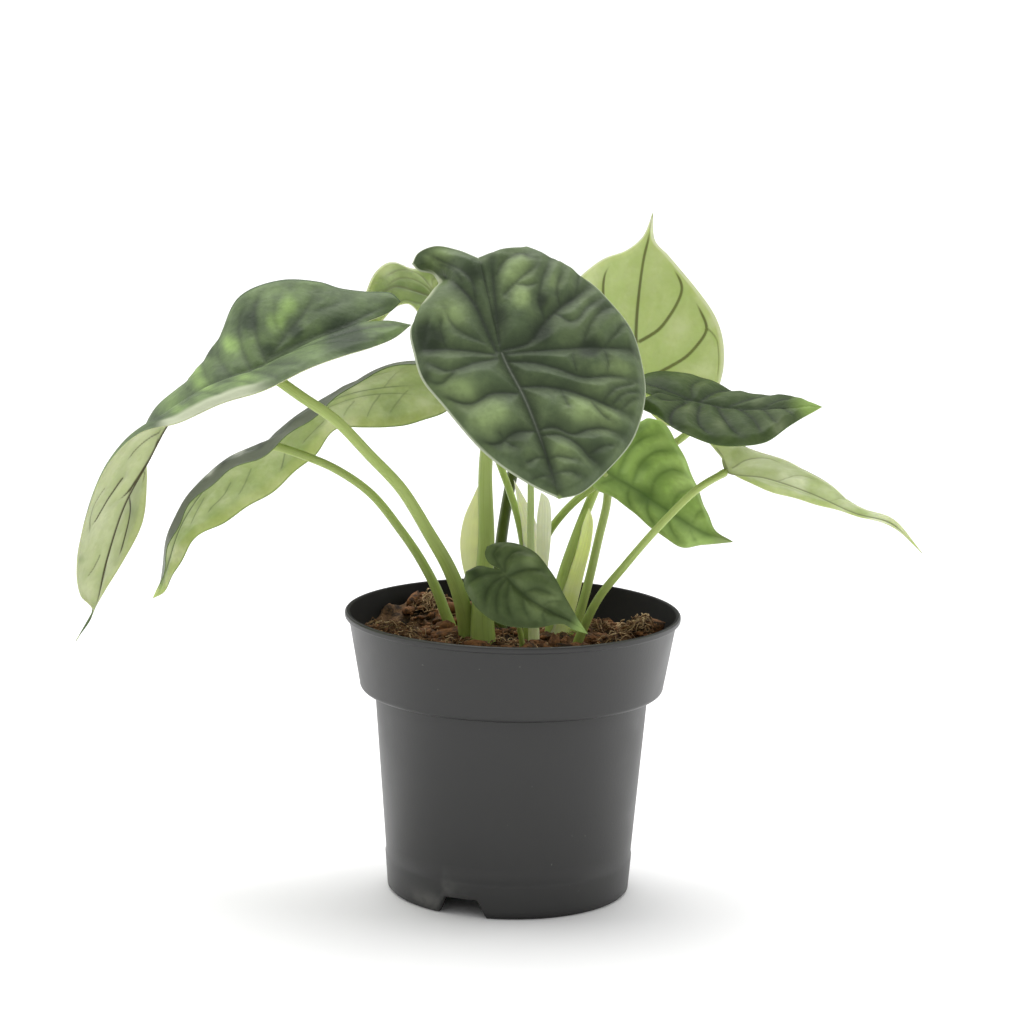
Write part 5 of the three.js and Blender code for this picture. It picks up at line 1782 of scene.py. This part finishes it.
@dataclass
class Studio:
    """A plain white floor, soft even light with a broad glow from above, and the camera."""

    floor_size: float = 30.0
    daylight: float = 0.55
    glow: float = 2.7
    glow_angle: float = math.radians(62)
    softbox: float = 4.0
    softbox_size: float = 0.9

    def floor(self) -> None:
        """Lay the floor."""
        mesh = bpy.data.meshes.new("floor")
        half = self.floor_size / 2
        mesh.from_pydata(
            [(-half, -half, 0), (half, -half, 0), (half, half, 0), (-half, half, 0)], [], [(0, 1, 2, 3)]
        )
        graph = Skin("floor_paper", {"Roughness": 0.9, "Specular IOR Level": 0.1})
        cloud = graph.times(graph.noise(graph.place, 3.0, 2.0), 0.05)
        mesh.materials.append(graph.finished(graph.painted((0.97,) * 3, (cloud, (0.95,) * 3))))
        placed("floor", mesh)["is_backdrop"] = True

    def world(self) -> None:
        """Surround everything with even light, and with plain white where the camera looks past the floor."""
        world = bpy.data.worlds.new("studio")
        world.use_nodes = True
        graph = Graph(world.node_tree)
        background = world.node_tree.nodes["Background"]
        background.inputs["Color"].default_value = (1.0, 1.0, 1.0, 1.0)
        seen = graph.add("ShaderNodeLightPath").outputs["Is Camera Ray"]
        strength = graph.plus(graph.times(seen, 1.0 - self.daylight), self.daylight)
        graph.tree.links.new(strength, background.inputs["Strength"])
        bpy.context.scene.world = world

    def light(self, name: str, kind: str, place: Triple, aim: Triple, strength: float) -> bpy.types.Light:
        """Hang a light.

        Args:
            name: The light's name.
            kind: Its type.
            place: Where it hangs, in metres.
            aim: The point it shines at, in metres.
            strength: Its power or strength.

        Returns:
            The light's data.
        """
        data = bpy.data.lights.new(name, kind)
        data.energy = strength
        lamp = placed(name, data)
        lamp.location = place
        lamp.rotation_euler = look(np.array(aim) - np.array(place))
        return data

    def camera(self) -> None:
        """Set the camera at the picture's own viewpoint, turned by its roll."""
        data = bpy.data.cameras.new("camera")
        data.sensor_width = 36.0
        data.lens = PICTURE.focus / (2 * PICTURE.middle) * data.sensor_width
        data.clip_end = 2 * self.floor_size
        camera = placed("camera", data)
        into, across, up = PICTURE.axes()
        matrix = np.eye(4)
        matrix[:3] = np.column_stack([across, up, -into, (PICTURE.eye() + AXIS) * METRES])
        camera.matrix_world = Matrix(matrix.tolist())
        bpy.context.scene.camera = camera

    def build(self) -> None:
        """Set up the whole studio."""
        self.camera()
        self.floor()
        self.world()
        self.light("glow_above", "SUN", (-0.22, 0.75, 2.0), (0, 0, 0), self.glow).angle = self.glow_angle
        for name, across in (("left_softbox", -1.0), ("right_softbox", 1.0)):
            light = self.light(name, "AREA", (across, 0.25, 0.5), (0, 0, 0.1), self.softbox)
            light.size = self.softbox_size
        bpy.context.scene.view_settings.view_transform = "Standard"


def look(direction: Array) -> tuple[float, float, float]:
    """Return the turn that aims a light's own down along a direction."""
    x, y, z = unit(direction)
    return (math.acos(-z), 0.0, math.atan2(y, x) - math.pi / 2)


SHEATHS = (
    Sheath(
        "sheath_front",
        StemFinish("sheath_pale", (0.7, 0.76, 0.42), (0.66, 0.72, 0.38), (0.54, 0.62, 0.27), 0.25, 0.5,
                   0.8),
        (485, 471, 6), (482, 605, -3), (487, 529, 5, 483, 581, 0),
        (473, 497, 8, 464, 518, 9, 460, 543, 9, 463, 568, 8, 471, 592, 5), 0.15),
    Sheath(
        "sheath_back_left",
        StemFinish("sheath_green", (0.74, 0.82, 0.48), (0.86, 0.92, 0.62), (0.62, 0.72, 0.36), 0.25, 0.5,
                   0.9),
        (514, 480, 10), (529, 645, 4), (517, 500, 9, 521, 522, 8, 524, 556, 7, 526, 596, 5),
        (524, 497, 9, 534, 517, 9, 539, 534, 8, 539, 563, 6, 537, 602, 4)),
    Sheath(
        "sheath_new_leaf",
        StemFinish("sheath_white", (0.78, 0.86, 0.5), (0.92, 0.98, 0.66), (0.8, 0.86, 0.58), 0.2, 0.5, 0.35),
        (541, 492, -1), (535, 627, -6), (537, 517, -2, 537, 551, -3, 536, 591, -5),
        (549, 500, -1, 551, 535, -3, 547, 574, -5, 544, 605, -6)),
    Sheath(
        "sheath_upright",
        StemFinish("sheath_bright", (0.48, 0.58, 0.24), (0.62, 0.7, 0.4), (0.36, 0.47, 0.15), 0.3, 0.45, 0.8),
        (589, 508, 22), (556, 690, 3),
        (580, 531, 20, 567, 565, 17, 558, 590, 13, 549, 625, 9, 544, 655, 5),
        (593, 520, 20, 591, 545, 17, 585, 570, 15, 578, 600, 12, 571, 628, 9, 567, 655, 6), 0.18),
)

STEM = StemFinish("stem_green")
# Painted shade: the back leaf's stalk stands in shade behind the others, so it is coloured a dark green.
SHADED_STEM = StemFinish("stem_shaded", (0.085, 0.12, 0.014), (0.052, 0.078, 0.006), (0.022, 0.034, 0.004))


BLADES = (
    Blade("front", UpperFinish(ridge=0.9), tip_length=1.5, rim_widths=(0.4, 0.85), quilt=1.8, billow=1.1,
          groove=0.25),
    Blade("left_upper",
          UpperFinish(skin=(0.105, 0.15, 0.066), patch=(0.35, 0.53, 0.14), shade=(0.028, 0.046, 0.02),
                      rim=(0.055, 0.095, 0.036), line=0.5, bands=0.45),
          UnderFinish(skin=(0.47, 0.5, 0.31), patch=(0.62, 0.64, 0.48), soft=(0.3, 0.33, 0.18),
                      vein=(0.06, 0.048, 0.018), rim=(0.42, 0.45, 0.27), dark=1.0),
          quilt=0.65, billow=0.45, wave=0.2, rib_width=1.0, thread_width=0.75, tip_length=4.0,
          rim_widths=(0.3, 1.3), step=0.78),
    Blade("left_lower",
          UpperFinish(skin=(0.105, 0.128, 0.085), patch=(0.52, 0.54, 0.47), shade=(0.04, 0.05, 0.032),
                      rim=(0.2, 0.22, 0.18)),
          UnderFinish(skin=(0.33, 0.375, 0.18), patch=(0.6, 0.62, 0.45), vein=(0.11, 0.135, 0.055),
                      soft=(0.19, 0.235, 0.09), rim=(0.105, 0.15, 0.055), dark=0.9),
          quilt=1.3, ridge=0.4, wave=0.6, waves=7.0, rib_width=0.7, thread_width=0.5,
          rim_widths=(4.0, 0.6), step=0.68),
    Blade("upright",
          under=UnderFinish(skin=(0.49, 0.56, 0.29), patch=(0.66, 0.7, 0.48), soft=(0.39, 0.46, 0.19),
                            rim=(0.66, 0.7, 0.5)),
          quilt=0.7, billow=0.6, wave=0.2, thread_width=0.45, rim_widths=(1.6, 0.9), tip_length=3.0,
          step=0.58),
    Blade("right_upper",
          UpperFinish(vein=(0.007, 0.014, 0.004), shade=(0.014, 0.027, 0.007), skin=(0.046, 0.078, 0.018),
                      patch=(0.2, 0.245, 0.12), rim=(0.05, 0.08, 0.03), tip=(0.2, 0.3, 0.07), line=0.9,
                      gloss=0.1),
          UnderFinish(rim=(0.06, 0.1, 0.03)), quilt=1.6, billow=0.9, groove=0.25, wave=0.15,
          tip_length=14.0, rim_widths=(0.4, 0.4)),
    Blade("right_middle",
          UpperFinish(vein=(0.07, 0.13, 0.03), shade=(0.09, 0.16, 0.034), skin=(0.37, 0.55, 0.14),
                      patch=(0.62, 0.82, 0.27), rim=(0.42, 0.54, 0.22), line=0.5, bands=0.65),
          billow=0.7, wave=0.2),
    Blade("right_far",
          UpperFinish(skin=(0.24, 0.28, 0.15), shade=(0.16, 0.19, 0.1), vein=(0.13, 0.15, 0.08)),
          UnderFinish(skin=(0.33, 0.38, 0.17), patch=(0.64, 0.67, 0.5), soft=(0.24, 0.29, 0.1),
                      vein=(0.13, 0.14, 0.06), dark=0.7),
          quilt=0.8, billow=0.6, wave=0.2, rib_width=0.6, thread_width=0.5, step=0.6),
    Blade("small_front",
          UpperFinish(vein=(0.022, 0.036, 0.011), shade=(0.022, 0.038, 0.011), skin=(0.08, 0.118, 0.04),
                      patch=(0.24, 0.315, 0.13), rim=(0.1, 0.15, 0.05), tip=(0.3, 0.43, 0.13), line=0.4,
                      bands=0.5, gloss=0.15),
          quilt=1.2, billow=0.6, groove=0.12, crest=0.1, thickness=0.5, wave=0.1, rib_width=0.55,
          thread_width=0.35, shade_width=1.8, spread=1.8, tip_length=8.5, rim_widths=(0.3, 0.3), step=0.36),
    Blade("back", step=0.8),
    Blade("back_left",
          under=UnderFinish(skin=(0.3, 0.345, 0.17), patch=(0.58, 0.61, 0.41), soft=(0.15, 0.19, 0.08),
                            rim=(0.6, 0.64, 0.46), dark=0.3),
          quilt=1.0, wave=0.2, rim_widths=(0.9, 0.9)),
)


def main() -> None:
    """Build the plant, its pot and the studio, and report each piece."""
    logging.basicConfig(level=logging.INFO, format="%(message)s")
    Studio().build()
    pot = Pot()
    # Painted shade: the inside of the pot is the same plastic, made darker and duller as shade falls in it.
    shaded_inside = PlasticFinish("pot_inside_shaded", (0.008, 0.008, 0.007), (0.012, 0.011, 0.01), gloss=0.12,
                              roughness=0.6)
    pieces = [pot.build(PlasticFinish(), shaded_inside), *PottingMix(pot).build()]
    pieces += [blade.build() for blade in BLADES]
    pieces += [Stalk(place, SHADED_STEM if place == "back" else STEM).build() for place in LEAVES]
    rolled = StemFinish("rolled_green", (0.78, 0.85, 0.5), (0.34, 0.45, 0.13), amount=0.25)
    pieces.append(NewLeaf(rolled).build())
    pieces += [sheath.build() for sheath in SHEATHS]
    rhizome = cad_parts["rhizome"]
    rhizome.data.materials.clear()
    rhizome.data.materials.append(EarthFinish("rhizome_bark", scale=150.0).material())
    for piece in pieces:
        LOG.info("%s: %d faces", piece.name, len(piece.data.polygons))
    boxes = {"cad": CAD_BOX, "visual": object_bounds()}
    plain = {key: [[float(v) for v in corner] for corner in box] for key, box in boxes.items()}


if __name__ == "__main__":
    main()
